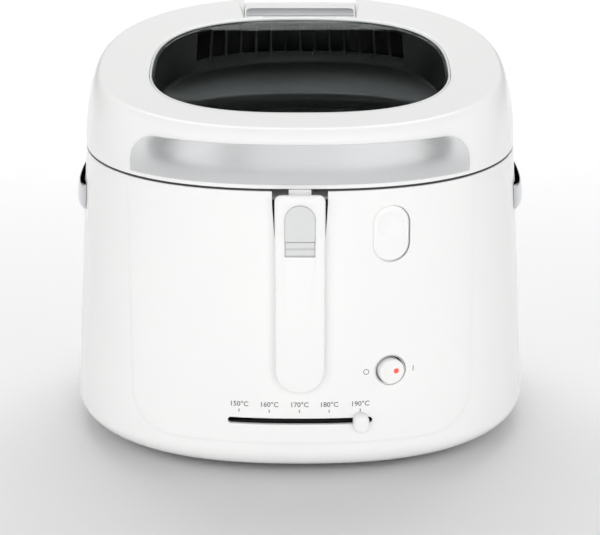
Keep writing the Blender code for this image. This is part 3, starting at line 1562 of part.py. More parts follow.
def cover_cutter():
    gap = COVER_GAP
    front, rear = COVER_FRONT_Y - gap, COVER_REAR_Y + gap
    side = COVER_HALF_WIDTH + gap
    corners = ((-side, front), (side, front), (side, rear), (-side, rear))
    rings = [[tilted(x, y, drop) for x, y in corners] for drop in (3 * LID_WALL, -2 * MM)]
    return loft("cover_opening", rings, None)


def cover_pin_bore():
    reach = COVER_HALF_WIDTH + 4 * MM
    profile = [(COVER_PIN_RADIUS + 0.15 * MM, -reach), (COVER_PIN_RADIUS + 0.15 * MM, reach)]
    return turned("cover_pin_bore", profile, None, axis_x(cover_pivot()), 10)


def make_filter_cover():
    """Flap over the filter, with a full-round rear edge that turns on its pin."""
    side = COVER_HALF_WIDTH
    middle = COVER_REAR_Y - COVER_THICKNESS / 2
    radius = COVER_THICKNESS / 2
    outline = [(COVER_FRONT_Y, COVER_THICKNESS), (middle, COVER_THICKNESS)]
    for step in range(1, 6):
        angle = math.pi * step / 6
        outline.append((middle + radius * math.sin(angle), radius + radius * math.cos(angle)))
    outline += [(middle, 0.0), (COVER_FRONT_Y, 0.0)]
    rings = [[tilted(x, y, drop) for y, drop in outline] for x in (-side, side)]
    cover = loft("filter_cover", rings, white_plastic())
    bore = turned(
        "cover_bore",
        [(COVER_PIN_RADIUS + 0.15 * MM, -side - MM), (COVER_PIN_RADIUS + 0.15 * MM, side + MM)],
        None,
        axis_x(cover_pivot()),
        10,
    )
    cut(cover, bore)
    return cover


def make_filter_cover_pin():
    reach = COVER_HALF_WIDTH + 3.5 * MM
    profile = [(COVER_PIN_RADIUS, -reach), (COVER_PIN_RADIUS, reach)]
    return turned("filter_cover_pin", profile, bright_steel(), axis_x(cover_pivot()), 10)


def make_filter_cover_plate():
    """Bright plate on the flap, its rear corners rounded."""
    side, corner = COVER_PLATE_HALF_WIDTH, 5 * MM
    front, rear = COVER_PLATE_FRONT_Y, COVER_PLATE_REAR_Y
    outline = [(-side, front), (side, front)]
    for centre_x, start in ((side - corner, 0.0), (corner - side, math.pi / 2)):
        for step in range(4):
            angle = start + math.pi / 2 * step / 3
            outline.append((centre_x + corner * math.cos(angle), rear - corner + corner * math.sin(angle)))
    low = -GAP
    rings = [[tilted(x, y, drop) for x, y in outline] for drop in (low, low - COVER_PLATE_THICKNESS)]
    return loft("filter_cover_plate", rings, brushed_steel())


# ---------------------------------------------------------------- hinge
def hinge_axis():
    return Vector((0, BODY_CENTRE_Y + SEAM_REAR + HINGE_OUT, HINGE_Z))


def hinge_tube(name, low, high, finish):
    return turned(name, [(HINGE_RADIUS, low), (HINGE_RADIUS, high)], finish, axis_x(hinge_axis()), 20)


def make_hinge_bracket():
    """Leaf on the body's rear wall with the two outer knuckles."""
    axis = hinge_axis()
    side = HINGE_HALF_LENGTH
    wall = BODY_CENTRE_Y + SEAM_REAR
    near = wall + 1.2 * MM
    leaf = box(
        "hinge_bracket",
        (-side, near, HINGE_Z - 26 * MM),
        (side, near + HINGE_LEAF_THICKNESS, HINGE_Z - HINGE_RADIUS - MM),
        white_plastic(),
    )
    parts = []
    for index, sign in enumerate((-1, 1)):
        low, high = sorted((sign * (side - HINGE_EAR), sign * side))
        parts.append(hinge_tube(f"body_knuckle_{index}", low, high, None))
        parts.append(
            box(
                f"body_knuckle_web_{index}",
                (low, near, HINGE_Z - HINGE_RADIUS - 5 * MM),
                (high, axis.y + 2 * MM, HINGE_Z - 1.5 * MM),
                None,
            )
        )
    join(leaf, *parts)
    cut(leaf, hinge_bore("bracket_hinge_bore"))
    return leaf


def hinge_bore(name):
    reach = HINGE_HALF_LENGTH + MM
    profile = [(HINGE_PIN_RADIUS + RUNNING, -reach), (HINGE_PIN_RADIUS + RUNNING, reach)]
    return turned(name, profile, None, axis_x(hinge_axis()), 14)


def make_lid_hinge_arm():
    """Leaf on the lid's rear wall with the two inner knuckles."""
    axis = hinge_axis()
    outer = HINGE_HALF_LENGTH - HINGE_EAR - RUNNING
    near = BODY_CENTRE_Y + SEAM_REAR + GAP
    low = HINGE_Z + HINGE_RADIUS + 2.2 * MM
    leaf = box(
        "lid_hinge_arm",
        (-HINGE_HALF_LENGTH, near, low),
        (HINGE_HALF_LENGTH, near + HINGE_LEAF_THICKNESS, low + 16 * MM),
        white_plastic(),
    )
    parts = []
    for index, sign in enumerate((-1, 1)):
        start, end = sorted((sign * HINGE_SPRING_HALF_LENGTH, sign * outer))
        parts.append(hinge_tube(f"lid_knuckle_{index}", start, end, None))
        web_low = (start, axis.y - HINGE_RADIUS + 0.2 * MM, HINGE_Z)
        web_high = (end, near + HINGE_LEAF_THICKNESS, low + MM)
        parts.append(box(f"lid_knuckle_web_{index}", web_low, web_high, None))
    join(leaf, *parts)
    cut(leaf, hinge_bore("arm_hinge_bore"))
    return leaf


def make_hinge_pin():
    profile = [(HINGE_PIN_RADIUS, -HINGE_HALF_LENGTH), (HINGE_PIN_RADIUS, HINGE_HALF_LENGTH)]
    return turned("lid_hinge_pin", profile, bright_steel(), axis_x(hinge_axis()), 14)


def make_lid_spring():
    """Coil on the hinge pin between the knuckles, which lifts the lid."""
    reach = HINGE_SPRING_HALF_LENGTH - 1.5 * MM
    points = helix(axis_x(hinge_axis()), HINGE_PIN_RADIUS + 1.4 * MM, -reach, reach, 4, 10)
    return tube_along("lid_spring", points, 0.6 * MM, bright_steel(), False, 0)


# ---------------------------------------------------------------- joint origins
def put_origins():
    """Each moving piece has its origin on its joint's axis."""
    hinge = hinge_axis()
    lid = ("lid_shell", "lid_trim_band", "window_gasket", "window_pane", "window_tray", "inner_pane")
    lid += ("inner_lid", "lid_seal", "lid_striker", "filter_cartridge", "lid_hinge_arm", "filter_cover_pin")
    places = {name: hinge for name in lid}
    places.update({name: cover_pivot() for name in ("filter_cover", "filter_cover_plate")})
    handle = ("handle_shell", "handle_latch", "handle_pad", "handle_latch_spring")
    places.update({name: handle_pivot() for name in handle})
    places["latch_hook"] = hook_place().translation
    places["lid_button"] = front_frame(BUTTON_X, BUTTON_Z).translation
    switch = front_frame(SWITCH_X, SWITCH_Z).translation
    places.update({name: switch for name in ("power_rocker", "switch_lens")})
    places.update({name: lever_pivot() for name in ("thermostat_lever", "temperature_knob")})
    for name, point in places.items():
        set_origin(bpy.data.objects[name], point)


def main():
    clear_scene()
    make_body_shell()
    make_top_frame()
    make_base_plate()
    make_feet()
    make_base_screws()
    make_cord_gland()
    make_bowl()
    make_basket()
    make_basket_rim()
    make_basket_bracket()
    make_heating_element()
    make_heat_shield()
    make_thermostat()
    make_thermostat_lever()
    make_temperature_knob()
    make_slot_liner()
    make_thermal_fuse()
    make_terminal_block()
    make_switch()
    make_lid_button()
    make_button_guide()
    make_button_spring()
    make_latch_hook()
    make_latch_pin()
    make_latch_bracket()
    make_handle_shell()
    make_handle_latch()
    make_handle_pad()
    make_latch_spring()
    make_handle_pin()
    make_handle_neck()
    make_handle_socket()
    make_side_grips()
    make_lid_shell()
    make_lid_trim_band()
    make_window_gasket()
    make_window_pane()
    make_window_tray()
    make_inner_pane()
    make_inner_lid()
    make_lid_seal()
    make_lid_striker()
    make_filter_cartridge()
    make_filter_cover()
    make_filter_cover_pin()
    make_filter_cover_plate()
    make_hinge_bracket()
    make_lid_hinge_arm()
    make_hinge_pin()
    make_lid_spring()
    put_origins()


main()
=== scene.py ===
"""Looks of a domestic deep fryer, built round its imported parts.

Metres, +Z up, front towards -Y. The origin is on the ground under the middle of the fryer.
"""

from __future__ import annotations

import logging
import math
from collections.abc import Callable, Sequence
from dataclasses import dataclass
from enum import Enum

import bmesh
import bpy
from mathutils import Matrix, Vector
from mathutils.bvhtree import BVHTree
from mathutils.interpolate import poly_3d_calc


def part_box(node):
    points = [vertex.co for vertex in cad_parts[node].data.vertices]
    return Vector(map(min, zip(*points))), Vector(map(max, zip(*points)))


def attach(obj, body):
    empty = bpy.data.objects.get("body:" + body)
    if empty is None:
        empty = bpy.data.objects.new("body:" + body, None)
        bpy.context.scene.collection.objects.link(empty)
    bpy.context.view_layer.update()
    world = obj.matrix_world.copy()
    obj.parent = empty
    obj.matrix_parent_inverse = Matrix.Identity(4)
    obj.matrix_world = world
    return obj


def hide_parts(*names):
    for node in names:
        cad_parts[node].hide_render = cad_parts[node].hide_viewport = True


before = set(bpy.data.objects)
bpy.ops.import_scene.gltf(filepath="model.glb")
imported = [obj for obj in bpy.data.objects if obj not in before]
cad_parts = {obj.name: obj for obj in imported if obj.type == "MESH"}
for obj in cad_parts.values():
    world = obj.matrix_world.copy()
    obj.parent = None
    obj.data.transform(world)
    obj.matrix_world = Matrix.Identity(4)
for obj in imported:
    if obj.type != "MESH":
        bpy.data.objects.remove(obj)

MM = 0.001
LOG = logging.getLogger("deep_fryer")

Piece = bpy.types.Object
Tree = bpy.types.NodeTree
Node = bpy.types.Node
Socket = bpy.types.NodeSocket
Point = tuple[float, float, float]
Flat = tuple[float, float]
Ring = list[Point]


class Body(Enum):
    """The bodies that pieces ride on."""

    CASE = "body"
    LID = "lid"
    FILTER_FLAP = "filter_cover"
    HANDLE = "handle"
    LATCH = "handle_latch"
    OPENER = "lid_button"
    HOOK = "latch_hook"
    ROCKER = "power_rocker"
    LEVER = "temperature_lever"


class Slot(Enum):
    """The record's material slots."""

    WHITE = "white_plastic"
    GREY = "grey_plastic"
    BLACK = "black_plastic"
    BRIGHT = "bright_steel"
    BRUSHED = "brushed_steel"
    COATED = "coated_metal"
    RUBBER = "rubber"
    SILICONE = "silicone"
    CLEAR = "clear_glass"
    SMOKED = "smoked_glass"
    RED = "red_lens_plastic"


# ------------------------------ nodes and finishes
def linear(colour: str) -> tuple[float, float, float, float]:
    """Turns an sRGB hex colour to linear.

    Args:
        colour: six hex digits after a hash sign.

    Returns:
        Linear red, green, blue and full alpha.
    """
    shares = [int(colour[place : place + 2], 16) / 255 for place in (1, 3, 5)]
    red, green, blue = (
        share / 12.92 if share <= 0.04045 else ((share + 0.055) / 1.055) ** 2.4 for share in shares
    )
    return (red, green, blue, 1.0)


def add_node(
    tree: Tree,
    kind: str,
    settings: dict[str | int, object] | None = None,
    links: dict[str | int, Socket] | None = None,
    feeds: dict[str | int, Socket] | None = None,
) -> Node:
    """Adds a node with its settings and links.

    Args:
        tree: the tree that gets the node.
        kind: Blender's type name of the node.
        settings: properties of the node, or values of its inputs by name or number.
        links: outputs of other nodes, by the input that each one feeds.
        feeds: inputs of other nodes, by the output that feeds each one.

    Returns:
        The new node.
    """
    node = tree.nodes.new(kind)
    for key, value in (settings or {}).items():
        if isinstance(key, str) and hasattr(node, key):
            setattr(node, key, value)
        else:
            node.inputs[key].default_value = value
    for key, source in (links or {}).items():
        tree.links.new(source, node.inputs[key])
    for key, target in (feeds or {}).items():
        tree.links.new(node.outputs[key], target)
    return node


@dataclass
class Surface:
    """What a finish works on: a material's tree, its shader's inputs and the Object coordinates."""

    tree: Tree
    into: bpy.types.NodeInputs
    place: Socket


@dataclass(frozen=True)
class Finish:
    """A surface: what it is made of and how that was made."""

    name: str
    colour: str
    roughness: float
    slot: Slot
    metallic: float = 0.0
    ior: float = 1.5
    coat: float = 0.0

    def material(self) -> bpy.types.Material:
        """Makes the material once, and gives the same one after that.

        Returns:
            The material.
        """
        found = bpy.data.materials.get(self.name)
        if found:
            return found
        made = bpy.data.materials.new(self.name)
        made.use_nodes = True
        tree = made.node_tree
        into = tree.nodes["Principled BSDF"].inputs
        into["Base Color"].default_value = linear(self.colour)
        into["Roughness"].default_value = self.roughness
        into["Metallic"].default_value = self.metallic
        into["IOR"].default_value = self.ior
        into["Coat Weight"].default_value = self.coat
        into["Coat Roughness"].default_value = 0.05
        self.dress(Surface(tree, into, add_node(tree, "ShaderNodeTexCoord").outputs["Object"]))
        made.diffuse_color = linear(self.colour)
        return made

    def dress(self, on: Surface) -> None:
        """Adds the pattern of the surface; a plain finish has none."""


@dataclass(frozen=True)
class MouldedPlastic(Finish):
    """Injection-moulded plastic: the tool's polish leaves a faint orange peel, finer on a satin tool."""

    grain: float = 1.6 * MM
    relief: float = 0.012 * MM
    shade: str = ""

    def dress(self, on: Surface) -> None:
        """Orange peel in the normal, slow drift in the gloss, slight drift in the colour.

        Args:
            on: the material's surface.
        """
        peel = add_node(
            on.tree, "ShaderNodeTexNoise", {"Scale": 1 / self.grain, "Detail": 2.0, "Roughness": 0.45},
            {"Vector": on.place},
        )
        add_node(
            on.tree, "ShaderNodeBump", {"Distance": self.relief, "Strength": 0.5},
            {"Height": peel.outputs["Fac"]}, {"Normal": on.into["Normal"]},
        )
        drift = add_node(on.tree, "ShaderNodeTexNoise", {"Scale": 18.0, "Detail": 3.0}, {"Vector": on.place})
        add_node(
            on.tree, "ShaderNodeMapRange", {"To Min": self.roughness * 0.85, "To Max": self.roughness * 1.15},
            {"Value": drift.outputs["Fac"]}, {"Result": on.into["Roughness"]},
        )
        if self.shade:
            add_node(
                on.tree, "ShaderNodeMix", {"data_type": "RGBA", 6: linear(self.colour), 7: linear(self.shade)},
                {0: drift.outputs["Fac"]}, {2: on.into["Base Color"]},
            )


@dataclass(frozen=True)
class BrushedMetal(Finish):
    """Sheet brushed from side to side: fine scratches run that way and spread reflections across it."""

    along: Point = (0.012, 1.0, 1.0)
    line: float = 0.35 * MM
    anisotropy: float = 0.0

    def dress(self, on: Surface) -> None:
        """Stretched noise for the scratches; wider streaks vary the gloss.

        Args:
            on: the material's surface.
        """
        stretch = add_node(on.tree, "ShaderNodeMapping", {"Scale": self.along}, {"Vector": on.place})
        place = stretch.outputs["Vector"]
        scratch = add_node(
            on.tree, "ShaderNodeTexNoise", {"Scale": 1 / self.line, "Detail": 4.0, "Roughness": 0.6},
            {"Vector": place},
        )
        streak = add_node(on.tree, "ShaderNodeTexNoise", {"Scale": 160.0, "Detail": 3.0}, {"Vector": place})
        add_node(
            on.tree, "ShaderNodeBump", {"Distance": 0.01 * MM, "Strength": 0.6},
            {"Height": scratch.outputs["Fac"]}, {"Normal": on.into["Normal"]},
        )
        add_node(
            on.tree, "ShaderNodeMapRange", {"To Min": self.roughness * 0.8, "To Max": self.roughness * 1.25},
            {"Value": streak.outputs["Fac"]}, {"Result": on.into["Roughness"]},
        )
        on.into["Anisotropic"].default_value = self.anisotropy


@dataclass(frozen=True)
class BrightMetal(Finish):
    """Drawn or plated metal: bright, with a faint draw line and small scuffs."""

    scuff: float = 0.05

    def dress(self, on: Surface) -> None:
        """Fine noise in the gloss and a trace of relief.

        Args:
            on: the material's surface.
        """
        noise = add_node(on.tree, "ShaderNodeTexNoise", {"Scale": 420.0, "Detail": 4.0}, {"Vector": on.place})
        add_node(
            on.tree, "ShaderNodeMapRange", {"To Min": self.roughness, "To Max": self.roughness + self.scuff},
            {"Value": noise.outputs["Fac"]}, {"Result": on.into["Roughness"]},
        )
        add_node(
            on.tree, "ShaderNodeBump", {"Distance": 0.01 * MM, "Strength": 0.25},
            {"Height": noise.outputs["Fac"]}, {"Normal": on.into["Normal"]},
        )


@dataclass(frozen=True)
class CoatedMetal(Finish):
    """Sprayed non-stick coat on aluminium: satin, with pale specks under the clear layer."""

    speck: str = "#5a5c5e"

    def dress(self, on: Surface) -> None:
        """Specks from the cells of a fine Voronoi, and a soft pebbled relief.

        Args:
            on: the material's surface.
        """
        cells = add_node(on.tree, "ShaderNodeTexVoronoi", {"Scale": 520.0}, {"Vector": on.place})
        edge = add_node(
            on.tree, "ShaderNodeMapRange", {"From Min": 0.10, "From Max": 0.22, "To Min": 1.0, "To Max": 0.0},
            {"Value": cells.outputs["Distance"]},
        )
        thin = add_node(
            on.tree, "ShaderNodeMath", {"operation": "GREATER_THAN", 1: 0.72}, {0: cells.outputs["Color"]}
        )
        speck = add_node(
            on.tree, "ShaderNodeMath", {"operation": "MULTIPLY"},
            {0: edge.outputs["Result"], 1: thin.outputs["Value"]},
        )
        add_node(
            on.tree, "ShaderNodeMix", {"data_type": "RGBA", 6: linear(self.colour), 7: linear(self.speck)},
            {0: speck.outputs["Value"]}, {2: on.into["Base Color"]},
        )
        pebble = add_node(on.tree, "ShaderNodeTexNoise", {"Scale": 700.0, "Detail": 2.0}, {"Vector": on.place})
        add_node(
            on.tree, "ShaderNodeBump", {"Distance": 0.03 * MM, "Strength": 0.4},
            {"Height": pebble.outputs["Fac"]}, {"Normal": on.into["Normal"]},
        )
        add_node(
            on.tree, "ShaderNodeMapRange", {"To Min": self.roughness * 0.85, "To Max": self.roughness * 1.2},
            {"Value": pebble.outputs["Fac"]}, {"Result": on.into["Roughness"]},
        )


@dataclass(frozen=True)
class Elastomer(Finish):
    """Moulded rubber or silicone: matt, finely pitted, with a slow random drift to a paler tone."""

    pale: str = "#3a3a3a"

    def dress(self, on: Surface) -> None:
        """Pits in the normal and a slow change of tone.

        Args:
            on: the material's surface.
        """
        pits = add_node(on.tree, "ShaderNodeTexNoise", {"Scale": 900.0, "Detail": 3.0}, {"Vector": on.place})
        add_node(
            on.tree, "ShaderNodeBump", {"Distance": 0.05 * MM, "Strength": 0.5},
            {"Height": pits.outputs["Fac"]}, {"Normal": on.into["Normal"]},
        )
        tone = add_node(on.tree, "ShaderNodeTexNoise", {"Scale": 60.0, "Detail": 2.0}, {"Vector": on.place})
        add_node(
            on.tree, "ShaderNodeMix", {"data_type": "RGBA", 6: linear(self.colour), 7: linear(self.pale)},
            {0: tone.outputs["Fac"]}, {2: on.into["Base Color"]},
        )


@dataclass(frozen=True)
class Glazing(Finish):
    """Float glass: clear and smooth, with the slow waviness of a rolled sheet."""

    clear: float = 1.0

    def dress(self, on: Surface) -> None:
        """Transmission, and a very slow wave in the normal.

        Args:
            on: the material's surface.
        """
        on.into["Transmission Weight"].default_value = self.clear
        wave = add_node(on.tree, "ShaderNodeTexNoise", {"Scale": 9.0, "Detail": 1.0}, {"Vector": on.place})
        add_node(
            on.tree, "ShaderNodeBump", {"Distance": 0.05 * MM, "Strength": 0.3},
            {"Height": wave.outputs["Fac"]}, {"Normal": on.into["Normal"]},
        )


@dataclass(frozen=True)
class LitLens(Finish):
    """Red polycarbonate lens over a lamp that is on."""

    glow: str = "#ff2a1c"
    power: float = 3.0

    def dress(self, on: Surface) -> None:
        """Prism pattern in the normal, emission of its own colour.

        Args:
            on: the material's surface.
        """
        on.into["Emission Color"].default_value = linear(self.glow)
        on.into["Emission Strength"].default_value = self.power
        prisms = add_node(on.tree, "ShaderNodeTexNoise", {"Scale": 1500.0}, {"Vector": on.place})
        add_node(
            on.tree, "ShaderNodeBump", {"Distance": 0.1 * MM, "Strength": 0.3},
            {"Height": prisms.outputs["Fac"]}, {"Normal": on.into["Normal"]},
        )


@dataclass(frozen=True)
class PadPrint(Finish):
    """Pad-printed ink: matt, with the pinholes of the transfer."""

    def dress(self, on: Surface) -> None:
        """Pinholes a quarter of a millimetre wide.

        Args:
            on: the material's surface.
        """
        holes = add_node(on.tree, "ShaderNodeTexNoise", {"Scale": 4000.0, "Detail": 2.0}, {"Vector": on.place})
        add_node(
            on.tree, "ShaderNodeMix", {"data_type": "RGBA", 6: linear(self.colour), 7: linear("#7c7c7c")},
            {0: holes.outputs["Fac"]}, {2: on.into["Base Color"]},
        )


# Glossy white ABS from a polished tool: even, bright, with soft broad highlights.
WHITE = MouldedPlastic("gloss_white_abs", "#f6f6f5", 0.22, Slot.WHITE, shade="#f3f3f3")
# Light grey ABS, satin tool.
GREY = MouldedPlastic("satin_grey_abs", "#dcdddd", 0.36, Slot.GREY, grain=0.7 * MM, shade="#d8d9d9")
# Black glass-filled nylon: dull sheen over a dense black.
BLACK = MouldedPlastic("satin_black_nylon", "#1f2122", 0.34, Slot.BLACK, grain=0.8 * MM, shade="#1b1d1e")
# The tray's black nylon, from a coarse-etched tool: deeper and duller.
DEEP_BLACK = MouldedPlastic("etched_black_nylon", "#111213", 0.5, Slot.BLACK, grain=0.6 * MM, shade="#0e0f0f")
# Brushed stainless band: scratches along the band spread the highlights up and down.
BAND = BrushedMetal("brushed_stainless_band", "#e2e3e4", 0.22, Slot.BRUSHED, metallic=1.0, anisotropy=0.6)
# Bead-blasted and brushed plate on the filter's flap: duller, so it takes light from high up.
PLATE = BrushedMetal("satin_stainless_plate", "#cfd0d2", 0.5, Slot.BRUSHED, metallic=1.0)
# Brushed stainless sheet of the inner pieces.
SHEET = BrushedMetal("brushed_stainless_sheet", "#c6c7c9", 0.3, Slot.BRUSHED, metallic=1.0)
# Chrome-plated grips: mirror-like, with dark and light bands from the room.
CHROME = BrightMetal("bright_chrome_plate", "#dcdde0", 0.07, Slot.BRIGHT, metallic=1.0, scuff=0.03)
# Drawn stainless wire of the basket.
WIRE = BrightMetal("drawn_stainless_wire", "#cfd0d2", 0.16, Slot.BRIGHT, metallic=1.0)
# Zinc-plated steel of screws, pins and springs.
ZINC = BrightMetal("zinc_plated_steel", "#b9bcc0", 0.28, Slot.BRIGHT, metallic=1.0, scuff=0.12)
# Non-stick coat of the bowl.
NON_STICK = CoatedMetal("sprayed_non_stick_coat", "#26282a", 0.38, Slot.COATED, coat=0.2)
# Pearl-grey silicone rim round the pane: soft sheen.
RIM = Elastomer("pearl_moulded_silicone", "#d9dada", 0.4, Slot.SILICONE, pale="#e2e3e3")
# Rubber of the feet.
RUBBER = Elastomer("moulded_nitrile_rubber", "#262626", 0.75, Slot.RUBBER)
# Translucent grey silicone of the lid's seal.
SILICONE = Elastomer("moulded_silicone", "#b9bab8", 0.5, Slot.SILICONE, pale="#c4c5c3")
# Dark strip in the seam between lid and body, dressed as silicone: a painted shadow that stands in for the shade of
# the gap.
SEAM_SHADOW_STRIP = Elastomer("dark_moulded_silicone", "#2c2c2c", 0.6, Slot.SILICONE, pale="#353535")
# Clear float glass of the window.
GLASS = Glazing("clear_float_glass", "#eef2f2", 0.02, Slot.CLEAR, ior=1.2)
# Smoked tempered glass over the frying space.
SMOKED = Glazing("smoked_tempered_glass", "#1c1f20", 0.04, Slot.SMOKED, ior=1.46, clear=0.2)
# Lamp lens of the switch.
LENS = LitLens("lit_red_polycarbonate", "#ff3b2e", 0.2, Slot.RED)
# Grey ink of the marks.
INK = PadPrint("grey_pad_print", "#5e5e5e", 0.55, Slot.GREY)
# Matt white paper sweep of the floor.
PAPER = MouldedPlastic("matt_paper", "#e8e8e8", 0.9, Slot.WHITE, relief=0.004 * MM)


# ------------------------------ mesh helpers
def shown(mesh: bpy.types.Mesh) -> Piece:
    """Puts a finished mesh in the scene, under its own name.

    Args:
        mesh: the mesh.

    Returns:
        Its object.
    """
    made = bpy.data.objects.new(mesh.name, mesh)
    bpy.context.scene.collection.objects.link(made)
    return made


def solid(
    name: str, points: Sequence[Point], faces: Sequence[Sequence[int]], finish: Finish, sharp: float = 35.0
) -> Piece:
    """Makes an object with outward faces, smooth but for its sharp edges.

    Args:
        name: the piece's name.
        points: corners, in metres, in the fryer's frame.
        faces: corner numbers of each face.
        finish: what the piece is made of.
        sharp: edges that turn more than this, in degrees, stay sharp.

    Returns:
        The new object.
    """
    mesh = bpy.data.meshes.new(name)
    work = bmesh.new()
    corners = [work.verts.new(point) for point in points]
    for face in faces:
        work.faces.new([corners[index] for index in face])
    bmesh.ops.remove_doubles(work, verts=work.verts, dist=1e-7)
    bmesh.ops.recalc_face_normals(work, faces=work.faces)
    work.to_mesh(mesh)
    work.free()
    mesh.materials.append(finish.material())
    mesh.shade_smooth()
    mesh.set_sharp_from_angle(angle=math.radians(sharp))
    return shown(mesh)


def loft(
    name: str, rings: Sequence[Ring], finish: Finish, looped: bool = False, sharp: float = 35.0
) -> Piece:
    """Skins rings of equal length, capped at both ends or looped back to the first.

    Args:
        name: the piece's name.
        rings: rings of points, all with as many points.
        finish: what the piece is made of.
        looped: joins the last ring to the first instead of capping both.
        sharp: edges that turn more than this, in degrees, stay sharp.

    Returns:
        The new object.
    """
    count = len(rings[0])
    points = [point for ring in rings for point in ring]
    faces: list[tuple[int, ...]] = []
    for level in range(len(rings) if looped else len(rings) - 1):
        low, high = level * count, ((level + 1) % len(rings)) * count
        for step in range(count):
            after = (step + 1) % count
            faces.append((low + step, low + after, high + after, high + step))
    if not looped:
        faces.append(tuple(range(count)))
        faces.append(tuple(range((len(rings) - 1) * count, len(rings) * count)))
    return solid(name, points, faces, finish, sharp)


def disc(radius: float, count: int = 48) -> list[Flat]:
    """Points of a circle round the origin."""
    turns = [2 * math.pi * step / count for step in range(count)]
    return [(radius * math.cos(turn), radius * math.sin(turn)) for turn in turns]


def turned(
    name: str,
    profile: Sequence[Flat],
    finish: Finish,
    place: Matrix,
    looped: bool = False,
    count: int = 64,
    sharp: float = 35.0,
) -> Piece:
    """Body of revolution about the w axis of place.

    Args:
        name: the piece's name.
        profile: (radius, w) points.
        finish: what the piece is made of.
        place: frame whose third axis is turned about.
        looped: the profile closes on itself, as for a ring.
        count: points in each ring.
        sharp: edges that turn more than this, in degrees, stay sharp.

    Returns:
        The new object.
    """
    rings = [[tuple(place @ Vector((u, v, w))) for u, v in disc(radius, count)] for radius, w in profile]
    return loft(name, rings, finish, looped, sharp)


def prism(
    name: str, outline: Sequence[Flat], low: float, high: float, finish: Finish, place: Matrix | None = None
) -> Piece:
    """Outline of (u, v) points extruded from w=low to w=high in the frame place."""
    place = place or Matrix.Identity(4)
    rings = [[tuple(place @ Vector((u, v, w))) for u, v in outline] for w in (low, high)]
    return loft(name, rings, finish)


def block(name: str, low: Point, high: Point, finish: Finish) -> Piece:
    """Box between two corners."""
    outline = [(low[0], low[1]), (high[0], low[1]), (high[0], high[1]), (low[0], high[1])]
    return prism(name, outline, low[2], high[2], finish)


def rounding(radius: float, steps: int) -> list[Flat]:
    """Quarter round as (inset, drop) pairs: from the side wall, at full drop, to the face."""
    turns = [math.pi / 2 * step / steps for step in range(steps + 1)]
    return [(radius * (1 - math.cos(turn)), radius * (1 - math.sin(turn))) for turn in turns]


def arc(middle: Flat, radius: float, start: float, sweep: float, steps: int) -> list[Flat]:
    """Points of an arc, both ends included, from a start and a sweep in degrees."""
    turns = [math.radians(start + sweep * step / steps) for step in range(steps + 1)]
    return [(middle[0] + radius * math.cos(turn), middle[1] + radius * math.sin(turn)) for turn in turns]


def squircle(radii: Point, y: float, powers: Flat, count: int) -> list[Flat]:
    """Rounded square about (0, y).

    Args:
        radii: half width, front depth and rear depth.
        y: its middle.
        powers: squareness of its front half and of its rear half.
        count: how many points.

    Returns:
        The outline, in x and y.
    """
    half, front, rear = radii
    outline = []
    for step in range(count):
        turn = 2 * math.pi * step / count
        c, s = math.cos(turn), math.sin(turn)
        power, depth = (2 / powers[0], front) if s < 0 else (2 / powers[1], rear)
        outline.append((half * math.copysign(abs(c) ** power, c), y + depth * math.copysign(abs(s) ** power, s)))
    return outline


def mix(first: float, second: float, share: float) -> float:
    """Value between two others."""
    return first + (second - first) * share


def smooth_step(low: float, high: float, value: float) -> float:
    """Zero below low, one above high, smooth between."""
    share = min(1.0, max(0.0, (value - low) / (high - low)))
    return share * share * (3 - 2 * share)


def apply_boolean(piece: Piece, others: Sequence[Piece], operation: str) -> None:
    """Cuts or joins other objects, applies the result to the piece's mesh and removes them.

    Args:
        piece: the object that stays.
        others: the cutters or the pieces to join.
        operation: DIFFERENCE or UNION.
    """
    for other in others:
        change = piece.modifiers.new(other.name, "BOOLEAN")
        change.operation = operation
        change.object = other
        change.solver = "EXACT"
    freeze(piece)
    for other in others:
        bpy.data.objects.remove(other, do_unlink=True)


def freeze(piece: Piece) -> None:
    """Applies the piece's modifiers to its mesh."""
    bpy.context.view_layer.update()
    graph = bpy.context.evaluated_depsgraph_get()
    mesh = bpy.data.meshes.new_from_object(piece.evaluated_get(graph))
    piece.modifiers.clear()
    old = piece.data
    mesh.name = old.name
    piece.data = mesh
    bpy.data.meshes.remove(old)


def soften(piece: Piece, width: float, angle: float = 40.0, segments: int = 2) -> None:
    """Rounds the sharp edges, as a moulding or a deburred sheet has them."""
    edge = piece.modifiers.new("rounded edges", "BEVEL")
    edge.width = width
    edge.segments = segments
    edge.limit_method = "ANGLE"
    edge.angle_limit = math.radians(angle)
    freeze(piece)
    piece.data.shade_smooth()
    piece.data.set_sharp_from_angle(angle=math.radians(50))


def copy_shading(
    piece: Piece, source: Piece, wanted: Callable[[Vector], bool], reach: float = 0.05 * MM
) -> None:
    """Gives faces that lie on a smooth surface that surface's own normals, so that cuts leave no dents.

    Args:
        piece: the cut object.
        source: the same surface before it was cut.
        wanted: says whether the face with a given middle needs it.
        reach: how near a face has to lie.
    """
    mesh = source.data
    bpy.context.view_layer.update()
    tree = BVHTree.FromObject(source, bpy.context.evaluated_depsgraph_get())
    smooth = [vertex.normal.copy() for vertex in mesh.vertices]
    target = piece.data
    normals = [corner.vector.copy() for corner in target.corner_normals]
    for polygon in target.polygons:
        if not wanted(polygon.center):
            continue
        spot, around, _, gap = tree.find_nearest(polygon.center, 1.0 * MM)
        if spot is None or gap > reach or around.dot(polygon.normal) < 0.9:
            continue
        for loop in polygon.loop_indices:
            corner = target.vertices[target.loops[loop].vertex_index].co
            near, _, face, _ = tree.find_nearest(corner)
            indices = mesh.polygons[face].vertices
            if min(around.dot(smooth[index]) for index in indices) < 0.8:
                continue
            shares = poly_3d_calc([mesh.vertices[index].co for index in indices], near)
            blend = sum((smooth[index] * share for index, share in zip(indices, shares)), Vector())
            if blend.length > 0:
                normals[loop] = blend.normalized()
    target.normals_split_custom_set(normals)


